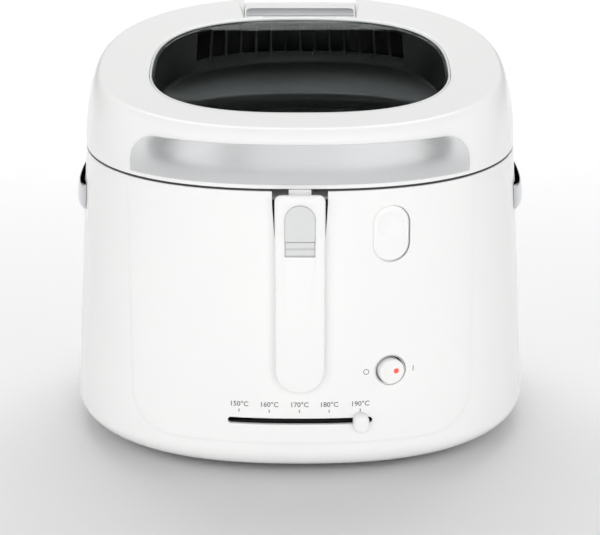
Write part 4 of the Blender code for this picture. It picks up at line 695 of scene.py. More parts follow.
def merge(name: str, pieces: Sequence[Piece]) -> Piece:
    """Makes one object of several of one body, and keeps their normals."""
    bpy.ops.object.select_all(action="DESELECT")
    for piece in pieces:
        piece.select_set(True)
    bpy.context.view_layer.objects.active = pieces[0]
    if len(pieces) > 1:
        bpy.ops.object.join()
    pieces[0].name = name
    pieces[0].data.name = name
    return pieces[0]


def put(piece: Piece, body: Body, finish: Finish, *nodes: str) -> Piece:
    """Lets a finished piece ride on its body and stand for CAD nodes, and reports it.

    Args:
        piece: the finished piece, in place.
        body: the body that it rides on.
        finish: the finish that names its material slot; not used.
        nodes: the CAD nodes that it stands for.

    Returns:
        The piece.
    """
    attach(piece, body.value)
    if nodes:
        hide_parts(*nodes)
    LOG.info("%s: %d faces, on %s", piece.name, len(piece.data.polygons), body.value)
    return piece


def refine(
    node: str, body: Body, finish: Finish, edge: float = 0.25 * MM, name: str | None = None
) -> Piece:
    """Redraws a small CAD node: its own shape, with rounded edges and smooth round faces.

    Args:
        node: the CAD node.
        body: the body that it rides on.
        finish: what it is made of.
        edge: radius of its edges.
        name: the new piece's name; the node's own name with an ending by default.

    Returns:
        The new piece, which stands for the node.
    """
    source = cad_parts[node]
    name = name or f"{node}_finished"
    mesh = source.data.copy()
    mesh.name = name
    work = bmesh.new()
    work.from_mesh(mesh)
    bmesh.ops.remove_doubles(work, verts=work.verts, dist=0.002 * MM)
    flat = [edge_ for edge_ in work.edges if len(edge_.link_faces) == 2 and edge_.calc_face_angle(1.0) < 0.01]
    bmesh.ops.dissolve_edges(work, edges=flat, use_verts=False, use_face_split=False)
    bmesh.ops.recalc_face_normals(work, faces=work.faces)
    work.to_mesh(mesh)
    work.free()
    for attribute in [item.name for item in mesh.attributes if item.name in ("custom_normal", "sharp_face")]:
        mesh.attributes.remove(mesh.attributes[attribute])
    mesh.materials.clear()
    mesh.materials.append(finish.material())
    piece = shown(mesh)
    if edge:
        soften(piece, edge)
    piece.data.shade_smooth()
    piece.data.set_sharp_from_angle(angle=math.radians(38))
    return put(piece, body, finish, node)


# ------------------------------ Geometry Nodes
def new_tree(name: str, inputs: dict[str, str]) -> tuple[Tree, Node]:
    """Starts a Geometry Nodes tree with a geometry in and out and named inputs.

    Args:
        name: the tree's name.
        inputs: what kind of socket each input is, by its name.

    Returns:
        The tree and its input node.
    """
    tree = bpy.data.node_groups.new(name, "GeometryNodeTree")
    tree.interface.new_socket("Geometry", in_out="INPUT", socket_type="NodeSocketGeometry")
    tree.interface.new_socket("Geometry", in_out="OUTPUT", socket_type="NodeSocketGeometry")
    for label, kind in inputs.items():
        tree.interface.new_socket(label, in_out="INPUT", socket_type=f"NodeSocket{kind}")
    return tree, add_node(tree, "NodeGroupInput")


def end_tree(tree: Tree, shape: Socket, source: Node) -> None:
    """Ends a tree in Realize Instances and Set Material."""
    real = add_node(tree, "GeometryNodeRealizeInstances", {}, {"Geometry": shape})
    dressed = add_node(
        tree, "GeometryNodeSetMaterial", {}, {"Geometry": real.outputs[0], "Material": source.outputs["Material"]}
    )
    add_node(tree, "NodeGroupOutput", {}, {"Geometry": dressed.outputs[0]})


def sweep(tree: Tree, source: Node, line: Socket, sizes: dict[str, int], links: dict[str, Socket]) -> None:
    """Ends a tree in a round wire along a line.

    Args:
        tree: the tree.
        source: its input node, with a Wire Radius.
        line: the curve that the wire follows.
        sizes: values of the round profile's inputs.
        links: outputs that feed the profile's other inputs.
    """
    links = {**links, "Radius": source.outputs["Wire Radius"]}
    profile = add_node(tree, "GeometryNodeCurvePrimitiveCircle", sizes, links)
    wire = add_node(
        tree, "GeometryNodeCurveToMesh", {"Fill Caps": True}, {"Curve": line, "Profile Curve": profile.outputs[0]}
    )
    end_tree(tree, wire.outputs[0], source)


def grow(
    name: str, seed: bpy.types.Mesh | bpy.types.Curve, tree: Tree, values: dict[str, object]
) -> Piece:
    """Runs a tree on a mesh or a curve and keeps the result as a plain mesh object.

    Args:
        name: the piece's name.
        seed: what the tree starts from.
        tree: the tree.
        values: values of the tree's inputs, by name.

    Returns:
        The new object.
    """
    holder = bpy.data.objects.new(f"{name}_seed", seed)
    bpy.context.scene.collection.objects.link(holder)
    maker = holder.modifiers.new(tree.name, "NODES")
    maker.node_group = tree
    for item in tree.interface.items_tree:
        if item.in_out == "INPUT" and item.name in values:
            maker[item.identifier] = values[item.name]
    bpy.context.view_layer.update()
    graph = bpy.context.evaluated_depsgraph_get()
    mesh = bpy.data.meshes.new_from_object(holder.evaluated_get(graph))
    mesh.name = name
    bpy.data.objects.remove(holder, do_unlink=True)
    mesh.shade_smooth()
    mesh.set_sharp_from_angle(angle=math.radians(40))
    return shown(mesh)


def wire_tree() -> Tree:
    """Tree that turns every edge of a mesh into a round wire.

    Returns:
        The tree, with the inputs Wire Radius, Sides and Material.
    """
    tree, source = new_tree("edges_to_wires", {"Wire Radius": "Float", "Sides": "Int", "Material": "Material"})
    given = source.outputs
    lines = add_node(tree, "GeometryNodeMeshToCurve", {}, {"Mesh": given["Geometry"]})
    sweep(tree, source, lines.outputs[0], {}, {"Resolution": given["Sides"]})
    return tree


def stamp_tree() -> Tree:
    """Tree that puts a copy of a part on every point, turned by the point's own frame.

    Returns:
        The tree, with the inputs Part and Material.
    """
    tree, source = new_tree("parts_on_points", {"Part": "Object", "Material": "Material"})
    given = source.outputs
    part = add_node(tree, "GeometryNodeObjectInfo", {"As Instance": True}, {"Object": given["Part"]})
    along = add_node(tree, "GeometryNodeInputNamedAttribute", {"data_type": "FLOAT_VECTOR", "Name": "along"})
    out = add_node(tree, "GeometryNodeInputNamedAttribute", {"data_type": "FLOAT_VECTOR", "Name": "out"})
    face = add_node(tree, "FunctionNodeAlignRotationToVector", {"axis": "Z"}, {"Vector": out.outputs[0]})
    turn = add_node(
        tree, "FunctionNodeAlignRotationToVector", {"axis": "X", "pivot_axis": "Z"},
        {"Rotation": face.outputs[0], "Vector": along.outputs[0]},
    )
    stamped = add_node(
        tree, "GeometryNodeInstanceOnPoints", {},
        {"Points": given["Geometry"], "Instance": part.outputs["Geometry"], "Rotation": turn.outputs[0]},
    )
    end_tree(tree, stamped.outputs[0], source)
    return tree


def coil_tree() -> Tree:
    """Tree that winds a wire into a coil about the Z axis of its own place.

    Returns:
        The tree, with the inputs Coil Radius, Height, Turns, Wire Radius and Material.
    """
    sizes = ("Coil Radius", "Height", "Turns", "Wire Radius")
    tree, source = new_tree("wound_wire", {**{size: "Float" for size in sizes}, "Material": "Material"})
    given = source.outputs
    line = add_node(
        tree, "GeometryNodeCurveSpiral", {"Resolution": 24},
        {"Rotations": given["Turns"], "Start Radius": given["Coil Radius"],
         "End Radius": given["Coil Radius"], "Height": given["Height"]},
    )
    sweep(tree, source, line.outputs[0], {"Resolution": 10}, {})
    return tree


def points_mesh(name: str, spots: Sequence[Matrix]) -> bpy.types.Mesh:
    """Loose points that carry the frame of each spot, for the stamping tree."""
    mesh = bpy.data.meshes.new(name)
    mesh.from_pydata([tuple(spot.translation) for spot in spots], [], [])
    for label, column in (("along", 0), ("out", 2)):
        layer = mesh.attributes.new(label, "FLOAT_VECTOR", "POINT")
        layer.data.foreach_set("vector", [value for spot in spots for value in spot.col[column][:3]])
    return mesh


def repeat(
    name: str, one: Piece, spots: Sequence[Matrix], finish: Finish, stamp: Tree
) -> Piece:
    """Puts a copy of a part at every spot, and removes the part.

    Args:
        name: the new piece's name.
        one: the part, about the origin.
        spots: a frame for each copy.
        finish: what the copies are made of.
        stamp: the stamping tree.

    Returns:
        All of the copies, as one piece.
    """
    made = grow(name, points_mesh(f"{name}_places", spots), stamp, {"Part": one, "Material": finish.material()})
    bpy.data.objects.remove(one, do_unlink=True)
    return made


# ------------------------------ the outer form
@dataclass(frozen=True)
class Form:
    """The fryer's outer shape, by formula: a rounded-square plan that tapers up to the seam."""

    centre_y: float = -8.2 * MM
    front_power: float = 2.4
    rear_power: float = 2.3
    bottom_z: float = 4.0 * MM
    widest_z: float = 22.4 * MM
    widest: Point = (152.1 * MM, 137.4 * MM, 154.0 * MM)
    seam_z: float = 193.7 * MM
    seam: Point = (141.5 * MM, 133.0 * MM, 151.8 * MM)
    round_width: float = 33.6 * MM
    top_z: float = 242.3 * MM
    top_rise: float = 0.10
    shoulder_width: float = 10.6 * MM
    shoulder_height: float = 52.0 * MM
    window: Point = (96.8 * MM, 86.2 * MM, 100.9 * MM)
    window_y: float = -8.8 * MM
    window_power: float = 2.64
    opening: Point = (86.0 * MM, 48.0 * MM, 46.0 * MM)
    opening_y: float = -22.0 * MM
    panel_raise: float = 0.6 * MM

    def plan(
        self, radii: Sequence[float], height: float | Callable[[float], float], count: int = 96
    ) -> Ring:
        """Rounded-square ring round the middle of the plan.

        Args:
            radii: half width, front depth and rear depth.
            height: a number, or a function of y from the middle of the plan.
            count: points in the ring.

        Returns:
            The ring's points.
        """
        outline = squircle(radii, 0.0, (self.front_power, self.rear_power), count)
        return [(x, self.centre_y + y, height(y) if callable(height) else height) for x, y in outline]

    def radii(self, z: float, inset: float = 0.0) -> Point:
        """Half width, front depth and rear depth of the tapered body at a height."""
        share = (z - self.widest_z) / (self.seam_z - self.widest_z)
        half, front, rear = (mix(low, high, share) - inset for low, high in zip(self.widest, self.seam))
        return (half, front, rear)

    def front_y(self, x: float, z: float) -> float:
        """Depth of the body's front face at x and z."""
        half_width, front, _ = self.radii(z)
        reach = 1 - abs(x / half_width) ** self.front_power
        return self.centre_y - front * reach ** (1 / self.front_power)

    def side_x(self, y: float, z: float) -> float:
        """Half width of the body at y, from the middle of the plan, and z."""
        half_width, front, rear = self.radii(z)
        power = self.front_power if y < 0 else self.rear_power
        reach = 1 - abs(y / (front if y < 0 else rear)) ** power
        return half_width * reach ** (1 / power)

    def front_frame(self, x: float, z: float) -> Matrix:
        """Frame on the front wall: u to the right, v up along the wall, w straight out of it."""
        step = 0.5 * MM
        here = Vector((x, self.front_y(x, z), z))
        right = (Vector((x + step, self.front_y(x + step, z), z)) - here).normalized()
        up = (Vector((x, self.front_y(x, z + step), z + step)) - here).normalized()
        out = right.cross(up).normalized()
        up = out.cross(right).normalized()
        made = Matrix((right, up, out)).transposed().to_4x4()
        made.translation = here
        return made

    def raised(self, x: float, z: float) -> float:
        """How far the soft panel on the front stands proud at x and z."""
        middle, half, low, corner, edge = 0.85 * MM, 109.3 * MM, 26.5 * MM, 26.0 * MM, 2.2 * MM
        across = abs(x - middle) - half
        below = low - z
        if across > -corner and below > -corner:
            inside = math.hypot(across + corner, below + corner) - corner
        else:
            inside = max(across, below)
        return self.panel_raise * (1 - smooth_step(-edge, 0.0, inside))

    def top(self, y: float) -> float:
        """Height of the lid's top plane at y, from the middle of the plan."""
        return self.top_z + self.top_rise * y

    def shoulder_inset(self, y: float, z: float) -> float:
        """How far the lid's side stands in at height z."""
        top = self.top(y)
        height = min(self.shoulder_height, top - self.seam_z)
        share = min(1.0, max(0.0, (z - (top - height)) / height))
        return self.shoulder_width * (1 - math.sqrt(1 - share * share))

    def lid_front_y(self, x: float, z: float) -> float:
        """Depth of the lid's front face at x and z."""
        half_width, front, _ = self.seam
        y = -front
        for _ in range(8):
            inset = self.shoulder_inset(y, z)
            reach = 1 - abs(x / (half_width - inset)) ** self.front_power
            y = -(front - inset) * reach ** (1 / self.front_power)
        return self.centre_y + y

    def lid_ring(self, share: float, wall: float = 0.0, count: int = 96) -> Ring:
        """Ring on the lid's shoulder, share from 0 at its foot to 1 at the top plane."""
        angle = share * math.pi / 2
        inset = self.shoulder_width * (1 - math.cos(angle)) + wall

        def height(y: float) -> float:
            top = self.top(y) - wall
            rise = min(self.shoulder_height, top - self.seam_z)
            return top - rise + rise * math.sin(angle)

        return self.plan([value - inset for value in self.seam], height, count)

    def window_ring(
        self, offset: float, drop: float = 0.0, height: float | None = None, count: int = 192
    ) -> Ring:
        """Ring round the window, grown by offset, at drop under the top plane or at a height."""
        radii = [value + offset for value in self.window]
        outline = squircle(radii, self.window_y, (self.window_power, self.window_power), count)
        return [(x, self.centre_y + y, self.top(y) - drop if height is None else height) for x, y in outline]

    def opening_ring(self, offset: float, z: float, count: int = 192) -> Ring:
        """Ring round the opening in the tray's floor."""
        radii = [value + offset for value in self.opening]
        outline = squircle(radii, self.opening_y, (self.front_power, self.front_power), count)
        return [(x, self.centre_y + y, z) for x, y in outline]

    def tilted(self, x: float, y: float, drop: float) -> Point:
        """Point at drop under the lid's top plane."""
        return (x, self.centre_y + y, self.top(y) - drop)


FORM = Form()


def oval(half_width: float, half_height: float, count: int = 96) -> list[Flat]:
    """Upright oval with straight sides and round ends."""
    straight = half_height - half_width
    outline = []
    for step in range(count):
        angle = 2 * math.pi * (step + 0.5) / count
        shift = straight if math.sin(angle) > 0 else -straight
        outline.append((half_width * math.cos(angle), half_width * math.sin(angle) + shift))
    return outline


def on_wall(outline: Sequence[Flat], proud: float = 0.0) -> Ring:
    """Points of an x and z outline laid on the front wall and its raised panel."""
    return [(x, FORM.front_y(x, z) - FORM.raised(x, z) - proud, z) for x, z in outline]


def wall_lip(
    name: str, outline: Callable[[float], list[Flat]], radius: float, depth: float, finish: Finish
) -> Piece:
    """Rounded lip of an opening in the front wall, as one closed ring that follows the wall.

    Args:
        name: the piece's name.
        outline: gives the opening's x and z outline, grown by a distance.
        radius: radius of the lip.
        depth: how deep the opening's side runs behind the wall's face.
        finish: what the lip is made of.

    Returns:
        The lip.
    """
    rings = [on_wall(outline(radius * 1.4), -depth), on_wall(outline(radius * 1.4), -0.02 * MM)]
    rings += [on_wall(outline(grow), -drop) for drop, grow in rounding(radius, 6)]
    rings.append(on_wall(outline(0.0), -depth))
    return loft(name, rings, finish, looped=True)


def laid(place: Matrix, outline: Callable[[float], list[Flat]], levels: Sequence[Flat]) -> list[Ring]:
    """Rings of an outline at (inset, w) levels of a frame."""
    return [[tuple(place @ Vector((u, v, w))) for u, v in outline(inset)] for inset, w in levels]


# ------------------------------ body
@dataclass
class Case:
    """The tapered white body with its openings, and the dark strip under the lid that paints the seam's shadow."""

    wall: float = 2.6 * MM
    top: float = 192.7 * MM
    edge: float = 0.5 * MM
    notch_half: float = 17.1 * MM
    notch_foot: float = 15.3 * MM
    notch_low: float = 158.0 * MM
    notch_full: float = 184.7 * MM
    gland: Point = (62.0 * MM, 0.0, 36.0 * MM)
    gland_radius: float = 6.3 * MM
    slot_half: float = 45.3 * MM
    slot_z: float = 42.4 * MM
    slot_height: float = 3.4 * MM
    button: Flat = (56.5 * MM, 163.9 * MM)
    button_size: Flat = (11.9 * MM, 18.1 * MM)
    switch: Flat = (56.7 * MM, 74.7 * MM)
    switch_radius: float = 10.0 * MM
    lip: float = 0.9 * MM

    def angles(self) -> list[float]:
        """Turns of the ring's points in degrees, closer where the panel's edge passes."""
        turns = [float(step) for step in range(0, 226)] + [turn * 0.3 + 226 for turn in range(84)]
        turns += [float(step) for step in range(252, 289)] + [turn * 0.3 + 289 for turn in range(1, 84)]
        return turns + [float(step) for step in range(315, 360)]

    def ring(self, z: float, inset: float = 0.0) -> Ring:
        """Ring of the wall at a height, with the raised panel on the front."""
        half, front, rear = FORM.radii(z, inset)
        ring = []
        for turn in self.angles():
            c, s = math.cos(math.radians(turn)), math.sin(math.radians(turn))
            power = 2 / (FORM.front_power if s < 0 else FORM.rear_power)
            x = half * math.copysign(abs(c) ** power, c)
            y = (front if s < 0 else rear) * math.copysign(abs(s) ** power, s)
            proud = FORM.raised(x, z) if s < -0.3 and inset <= self.edge and z > 22 * MM else 0.0
            ring.append((x, FORM.centre_y + y - proud, z))
        return ring

    def shell(self, name: str) -> Piece:
        """The wall as one closed skin, before it is cut."""
        rings = [self.ring(self.top, self.wall), self.ring(self.top, self.edge)]
        rings += [self.ring(self.top - drop, inset) for drop, inset in rounding(self.edge, 6)[1:]]
        z = self.top - self.edge
        while z > 58 * MM:
            z -= 4.2 * MM
            rings.append(self.ring(z))
        while z > 23.4 * MM:
            z -= 0.6 * MM
            rings.append(self.ring(z))
        rise = FORM.widest_z - FORM.bottom_z
        for step in range(15):
            turn = math.pi / 2 * (14 - step) / 14
            level = FORM.bottom_z + rise * (1 - math.cos(turn))
            rings.append(self.ring(level, FORM.round_width * (1 - math.sin(turn))))
        floor, flange = 6.6 * MM, FORM.round_width + 14.4 * MM
        rings += [self.ring(floor, FORM.round_width), self.ring(floor, flange), self.ring(9.2 * MM, flange)]
        for step in range(8):
            turn = mix(math.radians(31), math.pi / 2, step / 7)
            level = FORM.bottom_z + self.wall + rise * (1 - math.cos(turn))
            rings.append(self.ring(level, self.wall + FORM.round_width * (1 - math.sin(turn))))
        return loft(name, rings, WHITE, looped=True)

    def oval_on_wall(self, grow: float) -> list[Flat]:
        """Outline of the opener's opening, in x and z, grown by a distance."""
        place = FORM.front_frame(*self.button)
        points = [place @ Vector((u, v, 0)) for u, v in
                  oval(self.button_size[0] + grow, self.button_size[1] + grow)]
        return [(point.x, point.z) for point in points]

    def round_on_wall(self, grow: float) -> list[Flat]:
        """Outline of the switch's opening, in x and z, grown by a distance."""
        place = FORM.front_frame(*self.switch)
        points = [place @ Vector((u, v, 0)) for u, v in disc(self.switch_radius + grow, 96)]
        return [(point.x, point.z) for point in points]

    def slot_on_wall(self, grow: float) -> list[Flat]:
        """Outline of the lever's long slot, in x and z, grown by a distance."""
        radius = self.slot_height / 2 + grow
        straight = self.slot_half - self.slot_height / 2
        outline = []
        for side in (1, -1):
            outline += arc((side * straight, self.slot_z), radius, -90 * side, 180, 23)
            run = [side * (straight - 2 * straight * step / 24) for step in range(1, 24)]
            outline += [(x, self.slot_z + side * radius) for x in run]
        return outline

    def through(self, name: str, outline: Sequence[Flat]) -> Piece:
        """Cutter of an x and z outline through the front wall."""
        return loft(name, [[(x, y, z) for x, z in outline] for y in (-170 * MM, -95 * MM)], WHITE)

    def notch(self) -> Piece:
        """Cutter of the opening under the seam where the handle's head sits."""
        half, foot, full = self.notch_half, self.notch_foot, self.notch_full
        top, low = 196 * MM, self.notch_low
        outline = [(-foot, low), (foot, low), (half, full), (half, top), (-half, top), (-half, full)]
        return self.through("notch", outline)

    def gland_hole(self) -> Piece:
        """Cutter of the lead's opening in the rear wall."""
        x, _, z = self.gland
        outline = [(x + u, z + v) for u, v in disc(self.gland_radius, 40)]
        return loft("gland", [[(a, y, b) for a, b in outline] for y in (110 * MM, 170 * MM)], WHITE)

    def near_cut(self, spot: Vector) -> bool:
        """Whether a place on the wall lies where the cuts reach."""
        front = spot.y < -0.09 and (abs(spot.x) < 0.075)
        return front or (spot.y > 0.11 and abs(spot.x - self.gland[0]) < 0.02 and spot.z < 0.06)

    def build(self) -> None:
        """The body, its lips and the dark strip that paints the seam's shadow."""
        whole, shell = self.shell("wall_before_cuts"), self.shell("body_wall")
        cuts = [
            self.notch(),
            self.through("opener_hole", self.oval_on_wall(self.lip * 0.9)),
            self.through("switch_hole", self.round_on_wall(self.lip * 0.9)),
            self.through("lever_hole", self.slot_on_wall(0.9 * MM)),
            self.gland_hole(),
        ]
        apply_boolean(shell, cuts, "DIFFERENCE")
        copy_shading(shell, whole, self.near_cut)
        bpy.data.objects.remove(whole, do_unlink=True)
        put(shell, Body.CASE, WHITE, "body_shell")
        put(wall_lip("opener_lip", self.oval_on_wall, self.lip, 3.4 * MM, WHITE), Body.CASE, WHITE)
        put(wall_lip("switch_lip", self.round_on_wall, self.lip, 2.0 * MM, WHITE), Body.CASE, WHITE)
        lever = wall_lip("lever_slot_lip", lambda grow: self.slot_on_wall(grow + 0.3 * MM), 0.65 * MM, 2.4 * MM, WHITE)
        put(lever, Body.CASE, WHITE)
        # The dark strip is painted shadow: it darkens the seam under the lid.
        put(self.seam_strip(), Body.CASE, SEAM_SHADOW_STRIP)

    def seam_strip(self) -> Piece:
        """Dark strip that paints the shadow in the line between body and lid, open at the notch."""
        low, high = self.top + 0.02 * MM, FORM.seam_z + 0.34 * MM
        radii = [value - 0.55 * MM for value in FORM.seam]
        inner = [value - 2.4 * MM for value in FORM.seam]
        rings = [FORM.plan(radii, low, 240), FORM.plan(radii, high, 240),
                 FORM.plan(inner, high, 240), FORM.plan(inner, low, 240)]
        strip = loft("seam_strip", rings, SEAM_SHADOW_STRIP, looped=True)
        apply_boolean(strip, [self.notch()], "DIFFERENCE")
        return strip


# ------------------------------ lid
@dataclass
class Lid:
    """The white lid with its rounded shoulder, the metal band and what lies under it."""

    wall: float = 2.8 * MM
    low: float = 194.1 * MM
    edge: float = 0.5 * MM
    opening: float = 1.8 * MM
    window_edge: float = 0.8 * MM
    band_low: float = 197.1 * MM
    band_high: float = 221.1 * MM
    band_half: float = 105.6 * MM
    band_corner: float = 17.5 * MM
    band_thickness: float = 0.8 * MM
    cover: tuple[float, float, float] = (39.6 * MM, 95.8 * MM, 126.9 * MM)
    count: int = 360

    def shell(self) -> Piece:
        """The lid's skin, with the openings for the window and the filter's flap."""
        seam, count = FORM.seam, self.count

        def side(inset: float, z: float) -> Ring:
            return FORM.plan([value - inset for value in seam], z, count)

        rings = [side(self.wall, self.low), side(self.edge, self.low)]
        rings += [side(inset, self.low + rise) for rise, inset in rounding(self.edge, 4)[1:]]
        for step in range(2, 45):
            rings.append(FORM.lid_ring(1 - (1 - step / 44) ** 1.8, 0.0, count))
        grow, edge = self.opening, self.window_edge
        rings.append(FORM.window_ring(grow + 3 * MM, 0.0, None, count))
        rings += [FORM.window_ring(grow + out, drop, None, count) for drop, out in rounding(edge, 5)]
        rings += [FORM.window_ring(grow, self.wall, None, count), FORM.lid_ring(1.0, self.wall, count)]
        rings += [FORM.lid_ring(share, self.wall, count) for share in (0.85, 0.6)]
        shell = loft("lid_skin", rings, WHITE, looped=True, sharp=40.0)
        x, front, rear = self.cover
        corners = ((-x, front), (x, front), (x, rear), (-x, rear))
        cutter = loft(
            "flap_opening", [[FORM.tilted(a, b, drop) for a, b in corners] for drop in (8.4 * MM, -2 * MM)], WHITE
        )
        apply_boolean(shell, [cutter], "DIFFERENCE")
        return put(shell, Body.LID, WHITE, "lid_shell")

    def band(self) -> Piece:
        """The metal band round the lid's front, with large round upper corners."""
        rings = []
        steps, rows = 180, 18
        for step in range(steps + 1):
            x = self.band_half * math.sin(math.pi / 2 * (-1 + 2 * step / steps))
            into = max(0.0, abs(x) - (self.band_half - self.band_corner))
            high = self.band_high - self.band_corner + math.sqrt(max(0.0, self.band_corner**2 - into**2))
            front, back = [], []
            for row in range(rows + 1):
                z = mix(self.band_low, high, row / rows)
                y = FORM.lid_front_y(x, z)
                slope = math.cos(math.atan2(abs(x), -(y - FORM.centre_y)))
                back.append((x, y - 0.3 * MM / slope, z))
                front.append((x, y - (0.3 * MM + self.band_thickness) / slope, z))
            rings.append(front + back[::-1])
        band = loft("trim_band", rings, BAND, sharp=50.0)
        soften(band, 0.2 * MM, 60.0, 3)
        return put(band, Body.LID, BAND, "lid_trim_band")

    def under(self) -> None:
        """The plate and the seal under the lid."""
        outside = [value - self.wall - 1.2 * MM for value in FORM.seam]
        low, high = 196.2 * MM, 198.2 * MM
        rings = [FORM.plan(outside, low, 192), FORM.plan(outside, high, 192)]
        rings += [FORM.opening_ring(4 * MM, high), FORM.opening_ring(4 * MM, high + 9 * MM)]
        rings += [FORM.opening_ring(2.5 * MM, high + 9 * MM), FORM.opening_ring(2.5 * MM, low)]
        plate = loft("inner_plate", rings, SHEET, looped=True)
        vent = block(
            "vent", (-30 * MM, FORM.centre_y + 60 * MM, low - MM),
            (30 * MM, FORM.centre_y + 84 * MM, high + MM), SHEET,
        )
        apply_boolean(plate, [vent], "DIFFERENCE")
        soften(plate, 0.35 * MM, 60.0)
        put(plate, Body.LID, SHEET, "inner_lid")
        self.seal()

    def seal(self) -> Piece:
        """Soft ring that closes on the bowl's rim, with two lips, open at the front for the neck."""
        low, high = 189.5 * MM, 195.9 * MM
        middle = [value + 4 * MM for value in (112 * MM, 100 * MM, 116 * MM)]
        section = ((2.0, high), (2.0, low + 1.4 * MM), (1.6, low + 0.3 * MM), (0.9, low), (0.3, low + 0.9 * MM),
                   (-0.3, low + 0.9 * MM), (-0.9, low), (-1.6, low + 0.3 * MM), (-2.0, low + 1.4 * MM), (-2.0, high))
        rings = [FORM.plan([value + out * MM for value in middle], z, 180) for out, z in section]
        ring = loft("lid_seal_ring", rings, SILICONE, looped=True, sharp=50.0)
        notch = block(
            "seal_notch", (-7.9 * MM, FORM.centre_y - 120 * MM, low - MM),
            (7.9 * MM, FORM.centre_y - 90 * MM, 194.1 * MM), SILICONE,
        )
        apply_boolean(ring, [notch], "DIFFERENCE")
        return put(ring, Body.LID, SILICONE, "lid_seal")

    def build(self) -> None:
        """All of the lid but its window."""
        self.shell()
        self.band()
        self.under()
        refine("lid_striker", Body.LID, GREY)


@dataclass
class Window:
    """The large pane with its rim, and the black tray under it with the steam grille."""

    sink: float = 0.6 * MM
    pane: float = 2.5 * MM
    rim: float = 1.5 * MM
    gap: float = 0.3 * MM
    floor: float = 219.0 * MM
    lip_drop: float = 6.0 * MM
    wall: float = 2.0 * MM
    slots: int = 14
    pitch: float = 10.2 * MM
    slot_width: float = 8.4 * MM
    slot_low: float = 225.0 * MM

    def glazing(self) -> None:
        """The pane and the slim ring that holds it."""
        rings = [FORM.window_ring(0.0, self.sink + self.pane)]
        rings += [FORM.window_ring(-inset, self.sink + drop) for inset, drop in rounding(0.5 * MM, 4)]
        put(loft("window_glass", rings, GLASS), Body.LID, GLASS, "window_pane")
        outer, inner, low = self.rim, self.gap, 2.8 * MM
        section = ((outer, low), (outer, 0.6 * MM), (outer - 0.25 * MM, 0.33 * MM), (outer - 0.6 * MM, 0.22 * MM),
                   (inner + 0.3 * MM, 0.3 * MM), (inner, 0.55 * MM), (inner, low))
        rings = [FORM.window_ring(out, drop) for out, drop in section]
        put(loft("window_rim", rings, RIM, looped=True, sharp=50.0), Body.LID, RIM, "window_gasket")

    def tray(self) -> Piece:
        """Tray with sloping sides, a rounded opening in its floor and upright slots in its rear wall."""
        rim = self.sink + self.pane + self.gap
        under, lip, wall = self.floor - self.wall, self.floor - self.lip_drop, self.wall
        rings = [FORM.window_ring(3.5 * MM, rim), FORM.window_ring(-1.2 * MM, rim)]
        rings.append(FORM.window_ring(-2.2 * MM, rim + 0.8 * MM))
        for inset, rise in ((5.2 * MM, 1.4 * MM), (5.8 * MM, 0.3 * MM), (7 * MM, 0.0)):
            rings.append(FORM.window_ring(-inset, height=self.floor + rise))
        rings += [FORM.opening_ring(inset, self.floor - fall) for fall, inset in rounding(2.4 * MM, 8)]
        rings += [FORM.opening_ring(0.0, lip), FORM.opening_ring(wall, lip), FORM.opening_ring(wall, under)]
        rings += [FORM.window_ring(-6 * MM + wall, height=under), FORM.window_ring(-2 * MM + wall, rim + wall)]
        rings += [FORM.window_ring(3.5 * MM, rim + wall)]
        tray = loft("steam_tray", rings, DEEP_BLACK, looped=True, sharp=50.0)
        cutters = []
        half_width, _, rear = FORM.window
        for slot in range(self.slots):
            x = (slot - (self.slots - 1) / 2) * self.pitch
            reach = 1 - (abs(x) / half_width) ** FORM.window_power
            y = FORM.window_y + rear * reach ** (1 / FORM.window_power)
            y0, y1 = FORM.centre_y + y - 16 * MM, FORM.centre_y + FORM.window_y + rear + 12 * MM
            high = FORM.top(y - 6 * MM) - 7 * MM
            half, corner = self.slot_width / 2, 1.2 * MM
            outline = []
            for side_x, side_z, start in ((1, 1, 0), (-1, 1, 90), (-1, -1, 180), (1, -1, 270)):
                base = high - corner if side_z > 0 else self.slot_low + corner
                outline += arc((x + side_x * (half - corner), base), corner, start, 90, 4)
            cutters.append(loft(f"slot_{slot}", [[(a, y, b) for a, b in outline] for y in (y0, y1)], BLACK))
        apply_boolean(tray, [merge("slots", cutters)], "DIFFERENCE")
        return put(tray, Body.LID, DEEP_BLACK, "window_tray")

    def duct(self) -> Piece:
        """Dark wall of the steam duct, round the tray."""
        inner, outer, low, drop = 8.5 * MM, 9.5 * MM, 206.0 * MM, 3.6 * MM
        rings = [FORM.window_ring(inner, drop), FORM.window_ring(outer, drop)]
        rings += [FORM.window_ring(outer, height=low), FORM.window_ring(inner, height=low)]
        return put(loft("steam_duct", rings, DEEP_BLACK, looped=True), Body.LID, DEEP_BLACK)

    def lower_pane(self) -> Piece:
        """Smoked pane in the tray's opening."""
        low = self.floor - self.lip_drop
        rings = [FORM.opening_ring(-self.gap, low), FORM.opening_ring(-self.gap, low + 1.7 * MM)]
        rings.append(FORM.opening_ring(-self.gap - 0.3 * MM, low + 2.0 * MM))
        return put(loft("smoked_pane", rings, SMOKED), Body.LID, SMOKED, "inner_pane")

    def build(self) -> None:
        """The window, from the top down."""
        self.glazing()
        self.tray()
        self.duct()
        self.lower_pane()


